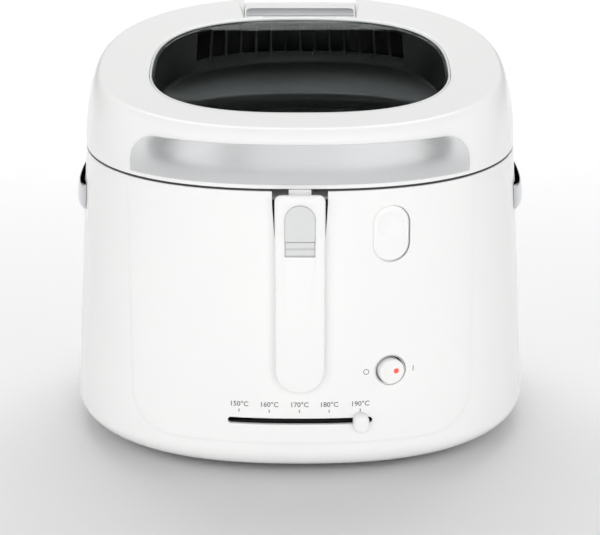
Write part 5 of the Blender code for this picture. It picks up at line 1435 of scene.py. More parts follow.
@dataclass
class SteamFilter:
    """The flap over the filter with its bright plate, and the cassette under it."""

    half: float = 39.2 * MM
    front: float = 96.2 * MM
    rear: float = 126.5 * MM
    thick: float = 3.0 * MM
    plate_half: float = 38.0 * MM
    plate_front: float = 97.2 * MM
    plate_rear: float = 112.7 * MM
    plate_thick: float = 0.9 * MM
    corner: float = 5.0 * MM

    def flap(self) -> Piece:
        """White flap with a full-round rear edge."""
        middle, radius = self.rear - self.thick / 2, self.thick / 2
        outline = [(self.front, self.thick), (middle, self.thick)]
        outline += arc((middle, radius), radius, 90, -180, 16)[1:-1]
        outline += [(middle, 0.0), (self.front, 0.0)]
        rings = [[FORM.tilted(x, y, drop) for y, drop in outline] for x in (-self.half, self.half)]
        flap = loft("filter_flap", rings, WHITE)
        soften(flap, 0.45 * MM, 50.0, 3)
        return put(flap, Body.FILTER_FLAP, WHITE, "filter_cover")

    def plate(self) -> Piece:
        """Bright plate on the flap, its rear corners rounded."""
        side, corner = self.plate_half, self.corner
        outline = [(-side, self.plate_front), (side, self.plate_front)]
        for centre, start in ((side - corner, 0), (corner - side, 90)):
            outline += arc((centre, self.plate_rear - corner), corner, start, 90, 12)
        rings = [[FORM.tilted(x, y, drop) for x, y in outline] for drop in (-0.3 * MM, -0.3 * MM - self.plate_thick)]
        plate = loft("filter_plate", rings, PLATE)
        soften(plate, 0.3 * MM, 50.0, 3)
        return put(plate, Body.FILTER_FLAP, PLATE, "filter_cover_plate")

    def mesh(self, wires: Tree) -> Piece:
        """Woven wire over the cassette's upper face."""
        low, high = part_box("filter_cartridge")
        mesh = bpy.data.meshes.new("filter_grid")
        work = bmesh.new()
        bmesh.ops.create_grid(work, x_segments=30, y_segments=10, size=0.5)
        span = ((high.x - low.x) - 8 * MM, (high.y - low.y) - 8 * MM)
        for vertex in work.verts:
            vertex.co = (vertex.co.x * span[0], (low.y + high.y) / 2 + vertex.co.y * span[1], high.z - 0.25 * MM)
        work.to_mesh(mesh)
        work.free()
        values = {"Wire Radius": 0.22 * MM, "Sides": 5, "Material": WIRE.material()}
        return put(grow("filter_mesh", mesh, wires, values), Body.LID, WIRE)

    def build(self, wires: Tree) -> None:
        """The flap, the cassette and its mesh."""
        self.flap()
        self.plate()
        refine("filter_cartridge", Body.LID, BLACK, 0.0)
        refine("filter_cover_pin", Body.LID, ZINC, 0.1 * MM)
        self.mesh(wires)


# ------------------------------ front pieces
@dataclass
class Handle:
    """The folding handle with its sliding catch and ribbed pad."""

    half: float = 15.5 * MM
    top: float = 4.4 * MM
    foot: float = -123.9 * MM
    stand_off: float = 0.8 * MM
    depth: float = 8.8 * MM
    skin: float = 2.4 * MM
    corner: float = 4.2 * MM
    pivot_z: float = 188.2 * MM
    neck_half: float = 6.9 * MM
    catch_half: float = 9.2 * MM
    catch_top: float = -1.8 * MM
    catch_foot: float = -24.5 * MM
    pad_foot: float = -34.5 * MM
    proud: float = 1.6 * MM
    face_round: float = 2.6 * MM
    top_slope: float = 3.4 * MM

    @property
    def place(self) -> Matrix:
        """Frame on the front wall at the handle's pin: u right, v up, w out."""
        return FORM.front_frame(0.0, self.pivot_z)

    def outline(self, inset: float = 0.0) -> list[Flat]:
        """Round foot and rounded upper corners, in u and v."""
        half, corner = self.half - inset, self.corner - inset * 0.5
        top, foot = self.top - inset, self.foot + inset
        points = arc((0.0, foot + half), half, 180, 180, 48)
        for side, start in ((1, 0), (-1, 90)):
            points += arc((side * (half - corner), top - corner), corner, start, 90, 12)
        return points

    def arch(self, half: float, top: float, foot: float, corner: float = 0.0) -> list[Flat]:
        """Square foot and round head, in u and v."""
        points = []
        for side, start in ((-1, 180), (1, 270)):
            points += arc((side * (half - corner), foot + corner), corner, start, 90, 6)
        return points + arc((0.0, top - half), half, 0, 180, 32)

    def shell(self) -> Piece:
        """The hollow handle, with the catch's window in its face."""
        place, back, front = self.place, self.stand_off, self.stand_off + self.depth
        levels = [(0.0, back + share * 2 * MM) for share in (0.0, 1.0, 2.0)]
        levels += [(inset * 0.62, front - drop) for inset, drop in rounding(self.face_round, 9)]
        rings = []
        for inset, w in levels:
            fall = self.top_slope * max(0.0, 1 - (w - back) / (self.depth - 2 * MM))
            lowered = [(u, v - fall * smooth_step(-14 * MM, 0.0, v)) for u, v in self.outline(inset)]
            rings.append([tuple(place @ Vector((u, v, w))) for u, v in lowered])
        shell = loft("handle_body", rings, WHITE, sharp=50.0)
        hollow = prism("hollow", self.outline(self.skin), back - MM, front - self.skin, WHITE, place)
        cheek, room = self.half - MM, self.neck_half + 0.3 * MM
        block_outline = [(-cheek, -6 * MM), (cheek, -6 * MM), (cheek, 0.8 * MM), (-cheek, 0.8 * MM)]
        cheeks = prism("cheeks", block_outline, back + MM, front - MM, WHITE, place)
        slot_outline = [(-room, -7 * MM), (room, -7 * MM), (room, 6 * MM), (-room, 6 * MM)]
        slot = prism("neck_slot", slot_outline, back - MM, front - self.skin + 0.3 * MM, WHITE, place)
        bore_place = place @ Matrix.Translation((0, 0, 5.2 * MM)) @ Matrix.Rotation(math.pi / 2, 4, "Y")
        bore = turned("bore", [(1.5 * MM, -cheek), (1.5 * MM, cheek)], WHITE, bore_place, count=24)
        gap = 0.15 * MM
        grown = self.arch(self.catch_half + gap, self.catch_top + gap, self.pad_foot - gap, 0.4 * MM)
        window = prism("catch_window", grown, front - 2 * self.skin, front + MM, WHITE, place)
        apply_boolean(shell, [hollow], "DIFFERENCE")
        apply_boolean(shell, [cheeks], "UNION")
        apply_boolean(shell, [slot, bore, window], "DIFFERENCE")
        soften(shell, 0.18 * MM, 60.0)
        return put(shell, Body.HANDLE, WHITE, "handle_shell")

    def catch(self) -> Piece:
        """The sliding catch: a slightly crowned slab with rounded edges."""
        front, face = self.stand_off + self.depth, self.stand_off + self.depth + self.proud
        levels = [(0.0, front - 0.7 * MM)]
        levels += [(inset, face - drop) for inset, drop in rounding(0.6 * MM, 6)]

        def outline(inset: float) -> list[Flat]:
            half, top, foot = self.catch_half - inset, self.catch_top - inset, self.catch_foot + inset
            return self.arch(half, top, foot, 0.9 * MM)

        catch = loft("sliding_catch", laid(self.place, outline, levels), GREY)
        return put(catch, Body.LATCH, GREY, "handle_latch")

    def pad(self, stamp: Tree) -> None:
        """The sunk pad under the catch with its cross ribs."""
        front = self.stand_off + self.depth
        outline = self.arch(self.catch_half, self.catch_top, self.pad_foot, 0.3 * MM)
        pad = prism("catch_pad", outline, front - self.skin, front - 1.7 * MM, GREY, self.place)
        put(pad, Body.HANDLE, GREY, "handle_pad")
        half, deep = self.catch_half - 0.2 * MM, 1.9 * MM
        one = block("pad_rib_shape", (-half, -deep, 0.0), (half, deep, 0.95 * MM), GREY)
        soften(one, 0.5 * MM, 60.0, 3)
        spots = [self.place @ Matrix.Translation((0, v, front - 1.75 * MM)) for v in (-27.3 * MM, -31.9 * MM)]
        put(repeat("pad_ribs", one, spots, GREY, stamp), Body.HANDLE, GREY)

    def build(self, stamp: Tree, coils: Tree) -> None:
        """All of the handle, its pin, its neck and the plate behind it."""
        self.shell()
        self.catch()
        self.pad(stamp)
        refine("handle_pin", Body.CASE, ZINC, 0.15 * MM)
        refine("handle_neck", Body.CASE, WHITE, 0.4 * MM)
        refine("handle_socket", Body.CASE, BLACK, 0.3 * MM)
        lengthwise = Matrix.Translation(self.place @ Vector((0, -34 * MM, self.stand_off + 3.2 * MM)))
        spring = wind("catch_spring", lengthwise, 1.8 * MM, -7 * MM, 7 * MM, 6.0, 0.3 * MM, coils)
        put(spring, Body.HANDLE, ZINC, "handle_latch_spring")


def wind(
    name: str,
    place: Matrix,
    radius: float,
    low: float,
    high: float,
    turns: float,
    wire: float,
    coils: Tree,
) -> Piece:
    """Winds a coil spring about the w axis of place, from w=low to w=high."""
    seed = bpy.data.meshes.new(f"{name}_start")
    seed.from_pydata([(0, 0, 0)], [], [])
    values = {
        "Coil Radius": radius, "Height": high - low, "Turns": turns, "Wire Radius": wire,
        "Material": ZINC.material(),
    }
    made = grow(name, seed, coils, values)
    made.data.transform(place @ Matrix.Translation((0, 0, low)))
    return made


@dataclass
class Opener:
    """The oval push-button that opens the lid, and the hook behind it."""

    half: float = 11.6 * MM
    high: float = 17.8 * MM
    sink: float = 1.2 * MM
    thick: float = 4.0 * MM
    dimple: float = 8.8 * MM
    dimple_depth: float = 1.5 * MM
    dimple_up: float = 5.5 * MM

    def button(self, case: Case) -> Piece:
        """The button with its finger dimple and its stem."""
        place = FORM.front_frame(*case.button)
        face = -self.sink
        levels = [(0.0, face - self.thick)]
        levels += [(inset, face - drop) for inset, drop in rounding(0.8 * MM, 6)]

        def outline(inset: float) -> list[Flat]:
            return oval(self.half - inset, self.high - inset)

        button = loft("opener_button", laid(place, outline, levels), WHITE)
        stem = turned("stem", [(3 * MM, face - 13 * MM), (3 * MM, face - 3 * MM)], WHITE, place, count=32)
        apply_boolean(button, [stem], "UNION")
        sphere = (self.dimple**2 + self.dimple_depth**2) / (2 * self.dimple_depth)
        profile = [(0.02 * MM, face - self.dimple_depth)]
        for step in range(1, 13):
            reach = self.dimple * 1.06 * step / 12
            profile.append((reach, face - self.dimple_depth + sphere - math.sqrt(sphere**2 - reach**2)))
        profile.append((self.dimple * 1.06, face + 2 * MM))
        spot = place @ Matrix.Translation((0, self.dimple_up, 0))
        apply_boolean(button, [turned("dimple", profile, WHITE, spot, count=72)], "DIFFERENCE")
        button.data.shade_smooth()
        button.data.set_sharp_from_angle(angle=math.radians(14))
        return put(button, Body.OPENER, WHITE, "lid_button")

    def build(self, case: Case, coils: Tree) -> None:
        """The button, its sleeve and spring, and the hook on its pin."""
        self.button(case)
        refine("button_guide", Body.CASE, WHITE, 0.3 * MM)
        place = FORM.front_frame(*case.button)
        back = -self.sink - self.thick - 7 * MM
        spring = wind("opener_spring", place, 4.6 * MM, back + 0.7 * MM, back + 3.2 * MM, 3.0, 0.4 * MM, coils)
        put(spring, Body.CASE, ZINC, "button_spring")
        refine("latch_hook", Body.HOOK, GREY)
        refine("latch_pin", Body.CASE, ZINC, 0.1 * MM)
        refine("latch_bracket", Body.CASE, GREY)


@dataclass
class Switch:
    """The round tilting switch with its lens, and the two marks beside it."""

    bezel_out: float = 9.7 * MM
    bore: float = 8.9 * MM
    depth: float = 4.0 * MM
    radius: float = 8.2 * MM
    proud: float = 4.2 * MM
    tilt: float = math.radians(6.0)
    lens: float = 1.5 * MM
    marks: tuple[float, float] = (41.5 * MM, 71.3 * MM)

    def disc_piece(self, tilted: Matrix) -> Piece:
        """The tilting disc: a low drum with a rounded edge and a very shallow dish."""
        low, face, edge = -self.depth - 2 * MM, self.proud, 1.5 * MM
        profile = [(0.02 * MM, low), (self.radius - MM, low), (self.radius, low + MM)]
        profile += [(self.radius - inset, face - drop) for inset, drop in rounding(edge, 9)]
        for step in range(1, 9):
            share = 1 - step / 9
            profile.append(((self.radius - edge) * share, face - 0.25 * MM * (1 - share**2)))
        profile.append((0.02 * MM, face - 0.25 * MM))
        rocker = turned("tilting_disc", profile, WHITE, tilted, count=96, sharp=50.0)
        spot = tilted @ Matrix.Translation((2.6 * MM, 0.4 * MM, 0))
        pocket = turned("pocket", [(1.8 * MM, face - 2 * MM), (1.8 * MM, face + MM)], WHITE, spot, count=32)
        apply_boolean(rocker, [pocket], "DIFFERENCE")
        put(rocker, Body.ROCKER, WHITE, "power_rocker")
        dome = [(0.01 * MM, face - 1.7 * MM), (self.lens, face - 1.7 * MM), (self.lens, face - 0.35 * MM)]
        for step in range(1, 6):
            turn = math.pi / 2 * step / 5
            reach = max(0.01 * MM, self.lens * math.cos(turn))
            dome.append((reach, face - 0.35 * MM + 0.6 * MM * math.sin(turn)))
        lens = turned("lamp_lens", dome, LENS, spot, count=40, sharp=50.0)
        return put(lens, Body.ROCKER, LENS, "switch_lens")

    def marks_on_wall(self) -> None:
        """Pad-printed ring for off and stroke for on."""
        off, on = self.marks
        outer, inner, count = 1.85 * MM, 1.4 * MM, 40
        rings = []
        for radius, proud in ((outer, 0.0), (outer, 0.04 * MM), (inner, 0.04 * MM), (inner, 0.0)):
            rings.append(on_wall([(off + u, 74.9 * MM + v) for u, v in disc(radius, count)], proud - 0.01 * MM))
        put(loft("mark_off", rings, INK, looped=True), Body.CASE, INK)
        half, low, high = 0.24 * MM, 72.8 * MM, 76.4 * MM
        stroke = [(on - half, low), (on + half, low), (on + half, high), (on - half, high)]
        put(loft("mark_on", [on_wall(stroke, -0.01 * MM), on_wall(stroke, 0.04 * MM)], INK), Body.CASE, INK)

    def build(self, case: Case) -> None:
        """The dish, the disc, the lens, the housing and the marks."""
        place = FORM.front_frame(*case.switch)
        outer, bore, depth = self.bezel_out, self.bore, self.depth
        profile = [(outer, -0.3 * MM), (outer - 0.3 * MM, -0.3 * MM), (outer - 0.45 * MM, -0.6 * MM),
                   (bore + 0.15 * MM, -depth + 1.6 * MM), (bore, -depth + MM), (bore, -depth - 4 * MM),
                   (outer, -depth - 4 * MM)]
        put(turned("switch_dish", profile, WHITE, place, looped=True, count=96), Body.CASE, WHITE, "switch_bezel")
        self.disc_piece(place @ Matrix.Rotation(self.tilt, 4, "Y"))
        refine("switch_housing", Body.CASE, BLACK, 0.4 * MM)
        self.marks_on_wall()


@dataclass
class TemperatureScale:
    """The lever's grip, its long slot and the printed scale over it."""

    radius: float = 150.0 * MM
    knob_x: float = 37.6 * MM
    slot_z: float = 42.4 * MM
    half: float = 5.0 * MM
    high: float = 6.4 * MM
    depth: float = 7.0 * MM
    ticks: tuple[float, ...] = (-38.4 * MM, -19.4 * MM, -0.4 * MM, 18.3 * MM, 37.9 * MM)
    tick_z: float = 49.5 * MM
    label_z: float = 52.4 * MM
    label_height: float = 3.3 * MM

    def knob(self) -> Piece:
        """Small rounded grip on the lever's tab."""
        pivot_y = FORM.front_y(self.knob_x, self.slot_z) - MM + math.sqrt(self.radius**2 - self.knob_x**2)
        turn = math.asin(self.knob_x / self.radius)
        out = Vector((math.sin(turn), -math.cos(turn), 0))
        up = Vector((0, 0, 1))
        side = up.cross(out)
        place = Matrix((side, up, out)).transposed().to_4x4()
        place.translation = Vector((0, pivot_y, self.slot_z)) + out * (self.radius + 0.3 * MM)
        levels = [(0.8 * MM, 0.0), (0.25 * MM, 0.5 * MM), (0.0, 1.3 * MM)]
        levels += [(2.2 * inset, self.depth - 3.4 * drop) for inset, drop in rounding(MM, 10)]

        def outline(inset: float) -> list[Flat]:
            return oval(self.half - inset, self.high - inset, 64)

        knob = loft("lever_grip", laid(place, outline, levels), WHITE, sharp=50.0)
        return put(knob, Body.LEVER, WHITE, "temperature_knob")

    def labels(self) -> None:
        """Printed temperatures, laid on the curved wall."""
        for index, x in enumerate(self.ticks):
            words = bpy.data.curves.new(f"words_{index}", "FONT")
            words.body = f"{150 + 10 * index}°C"
            words.size = self.label_height * 1.38
            words.align_x = "CENTER"
            words.extrude = 0.02 * MM
            words.offset = 0.07 * MM
            words.resolution_u = 3
            holder = bpy.data.objects.new(f"words_{index}", words)
            bpy.context.scene.collection.objects.link(holder)
            bpy.context.view_layer.update()
            mesh = bpy.data.meshes.new_from_object(holder.evaluated_get(bpy.context.evaluated_depsgraph_get()))
            bpy.data.objects.remove(holder, do_unlink=True)
            for vertex in mesh.vertices:
                u, v, w = vertex.co
                a, b = x + u, self.label_z + v
                vertex.co = (a, FORM.front_y(a, b) - FORM.raised(a, b) - 0.02 * MM - w, b)
            work = bmesh.new()
            work.from_mesh(mesh)
            bmesh.ops.remove_doubles(work, verts=work.verts, dist=1e-6)
            bmesh.ops.recalc_face_normals(work, faces=work.faces)
            work.to_mesh(mesh)
            work.free()
            mesh.name = f"label_{150 + 10 * index}"
            mesh.materials.clear()
            mesh.materials.append(INK.material())
            put(shown(mesh), Body.CASE, INK)

    def marks(self, stamp: Tree) -> Piece:
        """The ticks under the labels."""
        one = block("tick_shape", (-0.3 * MM, -MM, -0.02 * MM), (0.3 * MM, MM, 0.04 * MM), INK)
        spots = []
        for x in self.ticks:
            place = FORM.front_frame(x, self.tick_z)
            spots.append(place @ Matrix.Translation((0, 0, FORM.raised(x, self.tick_z))))
        return put(repeat("scale_ticks", one, spots, INK, stamp), Body.CASE, INK)

    def build(self, stamp: Tree) -> None:
        """The grip, the lever, the plate behind the slot and the scale."""
        self.knob()
        refine("thermostat_lever", Body.LEVER, SHEET, 0.15 * MM)
        refine("slot_liner", Body.CASE, BLACK, 0.2 * MM)
        self.labels()
        self.marks(stamp)


@dataclass
class SideGrips:
    """Bright carrying grips along both sides."""

    half: float = 40.0 * MM
    low: float = 152.2 * MM
    high: float = 169.2 * MM
    proud: float = 4.8 * MM

    def build(self) -> None:
        """Both grips: a rounded bar that swells off the wall and dies into it at its ends."""
        profile = [(0.0, 0.0)]
        for step in range(1, 24):
            turn = math.pi * step / 24
            profile.append((0.5 - 0.5 * math.copysign(abs(math.cos(turn)) ** 0.62, math.cos(turn)),
                            math.sin(turn) ** 0.55))
        profile.append((1.0, 0.0))
        for name, side in (("side_grip_left", -1), ("side_grip_right", 1)):
            rings = []
            for step in range(65):
                along = -1 + 2 * step / 64
                y = along * self.half
                swell = (1 - abs(along) ** 6) * 0.75 + 0.25
                ring = []
                for share, proud in profile:
                    z = mix(self.low, self.high, share)
                    x = FORM.side_x(y, z) + 0.3 * MM + self.proud * proud * swell
                    ring.append((side * x, FORM.centre_y + y, z))
                rings.append(ring)
            grip = loft(f"{name}_bar", rings, CHROME, sharp=60.0)
            put(grip, Body.CASE, CHROME, name)


# ------------------------------ inside
@dataclass
class FryingSpace:
    """The deck, the coated bowl, the wire basket and the heating parts."""

    bowl: Point = (112.0 * MM, 100.0 * MM, 116.0 * MM)
    taper: float = 8.0 * MM
    bowl_floor: float = 54.0 * MM
    bowl_corner: float = 16.0 * MM
    bowl_wall: float = 1.6 * MM
    deck: float = 187.0 * MM
    basket_floor: float = 66.0 * MM
    basket_top: float = 158.0 * MM
    basket_corner: float = 14.0 * MM
    clearance: float = 12.0 * MM
    mesh_pitch: float = 6.5 * MM

    def cup(self, radii: Point, bottom: float, top: float, corner: float, inset: float, count: int) -> list[Ring]:
        """Rings up the wall of a tapered cup, from the edge of its flat floor to its brim."""
        rings = []
        for rise, inward in rounding(corner, 8):
            slope = self.taper * (1 - rise / (top - bottom))
            rings.append(FORM.plan([value - inset - inward - slope for value in radii], bottom + rise, count))
        rings.append(FORM.plan([value - inset for value in radii], top, count))
        return rings

    def make_bowl(self) -> Piece:
        """Pressed bowl with a flat brim and rounded lip."""
        low, count = self.deck + 0.3 * MM, 180
        top = low + 1.9 * MM
        flange = [value + 8 * MM for value in self.bowl]
        outer = self.cup(self.bowl, self.bowl_floor, low, self.bowl_corner, 0.0, count)
        inner = self.cup(self.bowl, self.bowl_floor + self.bowl_wall, top, self.bowl_corner, self.bowl_wall, count)
        edge = [FORM.plan(flange, low + 0.5 * MM, count), FORM.plan(flange, top - 0.5 * MM, count)]
        edge = [FORM.plan([value - 0.5 * MM for value in flange], low, count)] + edge
        edge += [FORM.plan([value - 0.5 * MM for value in flange], top, count)]
        bowl = loft("coated_bowl", outer + edge + inner[::-1], NON_STICK, sharp=60.0)
        return put(bowl, Body.CASE, NON_STICK, "bowl")

    def basket_grid(self) -> bpy.types.Mesh:
        """Edges of the basket's woven wires: wall hoops and uprights, and a square grid on its floor."""
        radii = [value - self.clearance - 0.9 * MM for value in self.bowl]
        count = 96
        levels = self.cup(tuple(radii), self.basket_floor + 0.9 * MM, self.basket_top, self.basket_corner, 0.0, count)
        corner, brim = levels[:9:2], levels[-1]
        steps = 12
        walls = [
            [tuple(Vector(a).lerp(Vector(b), step / steps)) for a, b in zip(levels[8], brim)]
            for step in range(1, steps + 1)
        ]
        rings = corner + walls
        points = [point for ring in rings for point in ring]
        edges = []
        for level in range(len(rings)):
            for step in range(count):
                here = level * count + step
                if level not in (1, 3):
                    edges.append((here, level * count + (step + 1) % count))
                if level + 1 < len(rings):
                    edges.append((here, here + count))
        floor, z = levels[0], self.basket_floor + 0.9 * MM
        half, front, rear = max(p[0] for p in floor), min(p[1] for p in floor), max(p[1] for p in floor)
        along = int(2 * half / self.mesh_pitch)
        for axis in (0, 1):
            low, high = ((-half, half), (front, rear))[axis]
            for step in range(1, along):
                value = mix(low, high, step / along)
                hits = sorted(
                    p[1 - axis] + (q[1 - axis] - p[1 - axis]) * (value - p[axis]) / (q[axis] - p[axis])
                    for p, q in zip(floor, floor[1:] + floor[:1])
                    if (p[axis] - value) * (q[axis] - value) < 0
                )
                if len(hits) == 2:
                    ends = [(value, hit, z) if axis == 0 else (hit, value, z) for hit in hits]
                    edges.append((len(points), len(points) + 1))
                    points += ends
        mesh = bpy.data.meshes.new("basket_grid")
        mesh.from_pydata(points, edges, [])
        return mesh

    def make_basket(self, wires: Tree) -> None:
        """The wire basket, its thick brim wire and its strap."""
        values = {"Wire Radius": 0.55 * MM, "Sides": 6, "Material": WIRE.material()}
        put(grow("basket_wires", self.basket_grid(), wires, values), Body.CASE, WIRE, "basket")
        z = self.basket_top + 2.3 * MM
        ring = FORM.plan([value - self.clearance - 0.7 * MM for value in self.bowl], z, 144)
        mesh = bpy.data.meshes.new("brim_line")
        mesh.from_pydata(ring, [(step, (step + 1) % 144) for step in range(144)], [])
        values = {"Wire Radius": 1.95 * MM, "Sides": 16, "Material": WIRE.material()}
        put(grow("basket_brim_wire", mesh, wires, values), Body.CASE, WIRE, "basket_rim")
        refine("basket_bracket", Body.CASE, WIRE, 0.3 * MM)

    def build(self, wires: Tree) -> None:
        """Everything between the base and the lid."""
        refine("top_frame", Body.CASE, WHITE, 0.4 * MM)
        self.make_bowl()
        self.make_basket(wires)
        refine("heating_element", Body.CASE, SHEET, 0.0)
        refine("heat_shield", Body.CASE, SHEET, 0.2 * MM)
        refine("thermal_fuse", Body.CASE, ZINC, 0.2 * MM)
        refine("thermostat", Body.CASE, BLACK, 0.2 * MM)
        refine("terminal_block", Body.CASE, WHITE, 0.2 * MM)


@dataclass
class Base:
    """The base plate, the feet, the screws and the lead's bush."""

    screw: float = 3.2 * MM

    def feet(self) -> None:
        """Rubber feet with a hollow sole and a rounded edge."""
        for name in ("foot_front_left", "foot_front_right", "foot_rear_left", "foot_rear_right"):
            low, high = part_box(name)
            place = Matrix.Translation(((low.x + high.x) / 2, (low.y + high.y) / 2, 0))
            profile = [(0.02 * MM, 0.5 * MM), (6.6 * MM, 0.5 * MM), (7.2 * MM, 0.0), (9.0 * MM, 0.0)]
            for step in range(1, 6):
                turn = math.pi / 2 * step / 5
                profile.append((9 * MM + 0.95 * MM * math.sin(turn), 0.95 * MM * (1 - math.cos(turn))))
            profile += [(9.95 * MM, 3.4 * MM), (9.7 * MM, 3.7 * MM), (3.4 * MM, 3.7 * MM), (3.4 * MM, 6.3 * MM)]
            profile.append((0.02 * MM, 6.3 * MM))
            put(turned(f"{name}_rubber", profile, RUBBER, place, sharp=50.0), Body.CASE, RUBBER, name)

    def screws(self, stamp: Tree) -> Piece:
        """Four countersunk screws with a cross recess, put in place by the stamping tree."""
        radius = self.screw
        profile = [(0.01 * MM, 12 * MM), (1.6 * MM, 12 * MM), (1.6 * MM, 1.2 * MM), (radius, 1.15 * MM),
                   (radius, 0.35 * MM), (radius - 0.4 * MM, 0.05 * MM), (0.01 * MM, 0.0)]
        one = turned("screw_shape", profile, ZINC, Matrix.Identity(4), count=32)
        cross = [block("cross_a", (-1.7 * MM, -0.35 * MM, -MM), (1.7 * MM, 0.35 * MM, 0.8 * MM), ZINC),
                 block("cross_b", (-0.35 * MM, -1.7 * MM, -MM), (0.35 * MM, 1.7 * MM, 0.8 * MM), ZINC)]
        apply_boolean(one, cross, "DIFFERENCE")
        names = ("base_screw_right", "base_screw_rear", "base_screw_left", "base_screw_front")
        spots = []
        for index, name in enumerate(names):
            low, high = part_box(name)
            spot = Matrix.Translation(((low.x + high.x) / 2, (low.y + high.y) / 2, low.z))
            spots.append(spot @ Matrix.Rotation(math.radians(23 * index), 4, "Z"))
        return put(repeat("base_screws", one, spots, ZINC, stamp), Body.CASE, ZINC, *names)

    def build(self, stamp: Tree) -> None:
        """The underside."""
        refine("base_plate", Body.CASE, BLACK, 0.3 * MM)
        self.feet()
        self.screws(stamp)
        refine("cord_gland", Body.CASE, BLACK, 0.3 * MM)


@dataclass
class Hinge:
    """The rear hinge with its pin and its lifting coil."""

    axis: Point = (0.0, 149.2 * MM, 189.5 * MM)
    reach: float = 5.5 * MM

    def build(self, coils: Tree) -> None:
        """Both leaves, the pin and the coil."""
        refine("hinge_bracket", Body.CASE, WHITE, 0.3 * MM)
        refine("lid_hinge_arm", Body.LID, WHITE, 0.3 * MM)
        refine("lid_hinge_pin", Body.CASE, ZINC, 0.2 * MM)
        place = Matrix.Translation(self.axis) @ Matrix.Rotation(math.pi / 2, 4, "Y")
        spring = wind("hinge_coil", place, 3.4 * MM, -self.reach, self.reach, 6.0, 0.6 * MM, coils)
        put(spring, Body.CASE, ZINC, "lid_spring")


# ------------------------------ stage
@dataclass(frozen=True)
class GlowCard(Finish):
    """Translucent studio panel lit from behind, or a black flag when it has no glow: even all over."""

    glow: float = 1.0

    def dress(self, on: Surface) -> None:
        """Plain emission and no gloss.

        Args:
            on: the material's surface.
        """
        on.into["Emission Color"].default_value = linear("#ffffff")
        on.into["Emission Strength"].default_value = self.glow
        on.into["Specular IOR Level"].default_value = 0.0


class Reach(Enum):
    """What a lamp lights."""

    EVERYTHING = "all"
    OBJECT = "not_the_floor"
    FLOOR = "only_the_floor"


@dataclass(frozen=True)
class Lamp:
    """One soft area light."""

    name: str
    place: Point
    aim: Point
    size: Flat
    power: float
    colour: str = "#ffffff"
    seen: bool = False
    reach: Reach = Reach.EVERYTHING


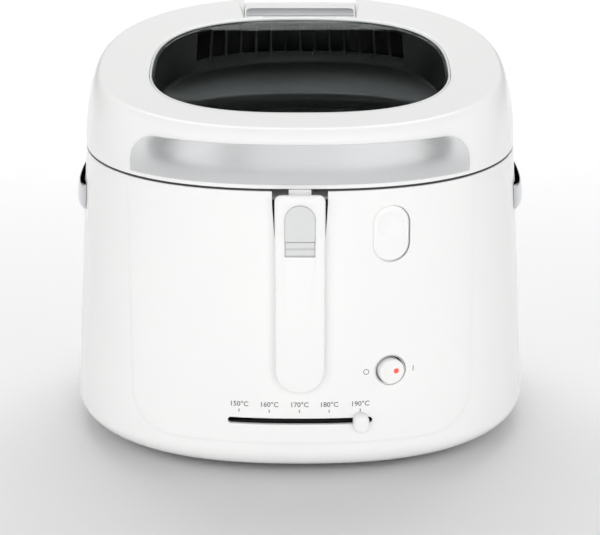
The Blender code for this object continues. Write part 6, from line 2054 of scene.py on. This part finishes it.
@dataclass
class Studio:
    """Plain pale floor, soft lights and the camera."""

    eye: Point = (0.0, -1.3319, 0.5538)
    target: Point = (0.0, -0.0082, 0.098)
    lens: float = 122.6
    sky: float = 0.40
    lamps: tuple[Lamp, ...] = (
        Lamp("overhead", (0.0, 0.6, 1.6), (0.0, 0.0, 0.1), (1.4, 0.9), 9.0, seen=True),
        Lamp("left_panel", (-2.2, -0.4, 0.8), (0.0, 0.0, 0.12), (1.2, 1.4), 5.0),
        Lamp("right_panel", (2.2, -0.4, 0.8), (0.0, 0.0, 0.12), (1.2, 1.4), 5.0),
        Lamp("front_panel", (0.0, -2.7, 0.95), (0.0, 0.0, 0.5), (4.2, 1.8), 51.0, reach=Reach.OBJECT),
        Lamp("floor_front", (0.0, -1.9, 1.3), (0.0, -1.1, 0.0), (3.0, 0.6), 13.0, reach=Reach.FLOOR),
        Lamp("floor_wash", (0.0, 1.7, 1.6), (0.0, 1.9, 0.0), (2.8, 1.2), 36.0),
    )
    cards: tuple[tuple[str, Point, Point, float], ...] = (
        ("rear_flag", (-2.2, 2.6, 0.35), (2.2, 2.62, 3.4), 0.0),
        ("front_card_left", (-3.4, -2.72, 0.02), (-1.35, -2.7, 3.0), 1.0),
        ("front_card_dim", (-1.35, -2.72, 0.02), (-0.7, -2.7, 3.0), 0.62),
        ("front_card_middle", (-0.7, -2.72, 0.02), (0.6, -2.7, 3.0), 0.9),
        ("front_card_right", (0.6, -2.72, 0.02), (3.4, -2.7, 3.0), 1.0),
        ("left_card", (-2.22, -0.8, 0.02), (-2.2, 1.2, 1.6), 0.98),
        ("right_card", (2.2, -0.8, 0.02), (2.22, 1.2, 1.6), 0.98),
    )

    def look(self, place: Point, aim: Point) -> Matrix:
        """Matrix at place that looks at aim."""
        turn = (Vector(aim) - Vector(place)).to_track_quat("-Z", "Y")
        return Matrix.Translation(place) @ turn.to_matrix().to_4x4()

    def floor(self) -> Piece:
        """Pale seamless floor."""
        ground = prism("studio_floor", [(-6, -6), (6, -6), (6, 8), (-6, 8)], -0.02, 0.0, PAPER)
        return ground

    def build(self) -> None:
        """Floor, world, lights and camera."""
        scene = bpy.context.scene
        scene.view_settings.view_transform = "Standard"
        ground = self.floor()
        lit = {}
        for reach, state in ((Reach.OBJECT, "EXCLUDE"), (Reach.FLOOR, "INCLUDE")):
            lit[reach] = bpy.data.collections.new(reach.value)
            lit[reach].objects.link(ground)
            lit[reach].collection_objects[0].light_linking.link_state = state
        world = bpy.data.worlds.new("studio")
        world.use_nodes = True
        sky = world.node_tree.nodes["Background"]
        sky.inputs["Color"].default_value = linear("#ffffff")
        sky.inputs["Strength"].default_value = self.sky
        scene.world = world
        for lamp in self.lamps:
            light = bpy.data.lights.new(lamp.name, "AREA")
            light.shape = "RECTANGLE"
            light.size, light.size_y = lamp.size
            light.energy = lamp.power
            light.color = linear(lamp.colour)[:3]
            holder = bpy.data.objects.new(lamp.name, light)
            holder.matrix_world = self.look(lamp.place, lamp.aim)
            holder.visible_glossy = lamp.seen
            if lamp.reach in lit:
                holder.light_linking.receiver_collection = lit[lamp.reach]
            scene.collection.objects.link(holder)
        for name, low, high, glow in self.cards:
            card = block(name, low, high, GlowCard(name, "#000000", 1.0, Slot.WHITE, glow=glow))
            card.visible_camera = card.visible_diffuse = card.visible_shadow = False
        eye = bpy.data.cameras.new("camera")
        eye.lens = self.lens
        eye.sensor_width = 36
        camera = bpy.data.objects.new("camera", eye)
        camera.matrix_world = self.look(self.eye, self.target)
        scene.collection.objects.link(camera)
        scene.camera = camera


def main() -> None:
    """Builds the fryer's looks, sub-assembly by sub-assembly."""
    logging.basicConfig(level=logging.INFO, format="%(name)s: %(message)s")
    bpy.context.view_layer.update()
    wires, stamp, coils = wire_tree(), stamp_tree(), coil_tree()
    case = Case()
    case.build()
    Lid().build()
    Window().build()
    SteamFilter().build(wires)
    Handle().build(stamp, coils)
    Opener().build(case, coils)
    Switch().build(case)
    TemperatureScale().build(stamp)
    SideGrips().build()
    FryingSpace().build(wires)
    Base().build(stamp)
    Hinge().build(coils)
    Studio().build()


if __name__ == "__main__":
    main()
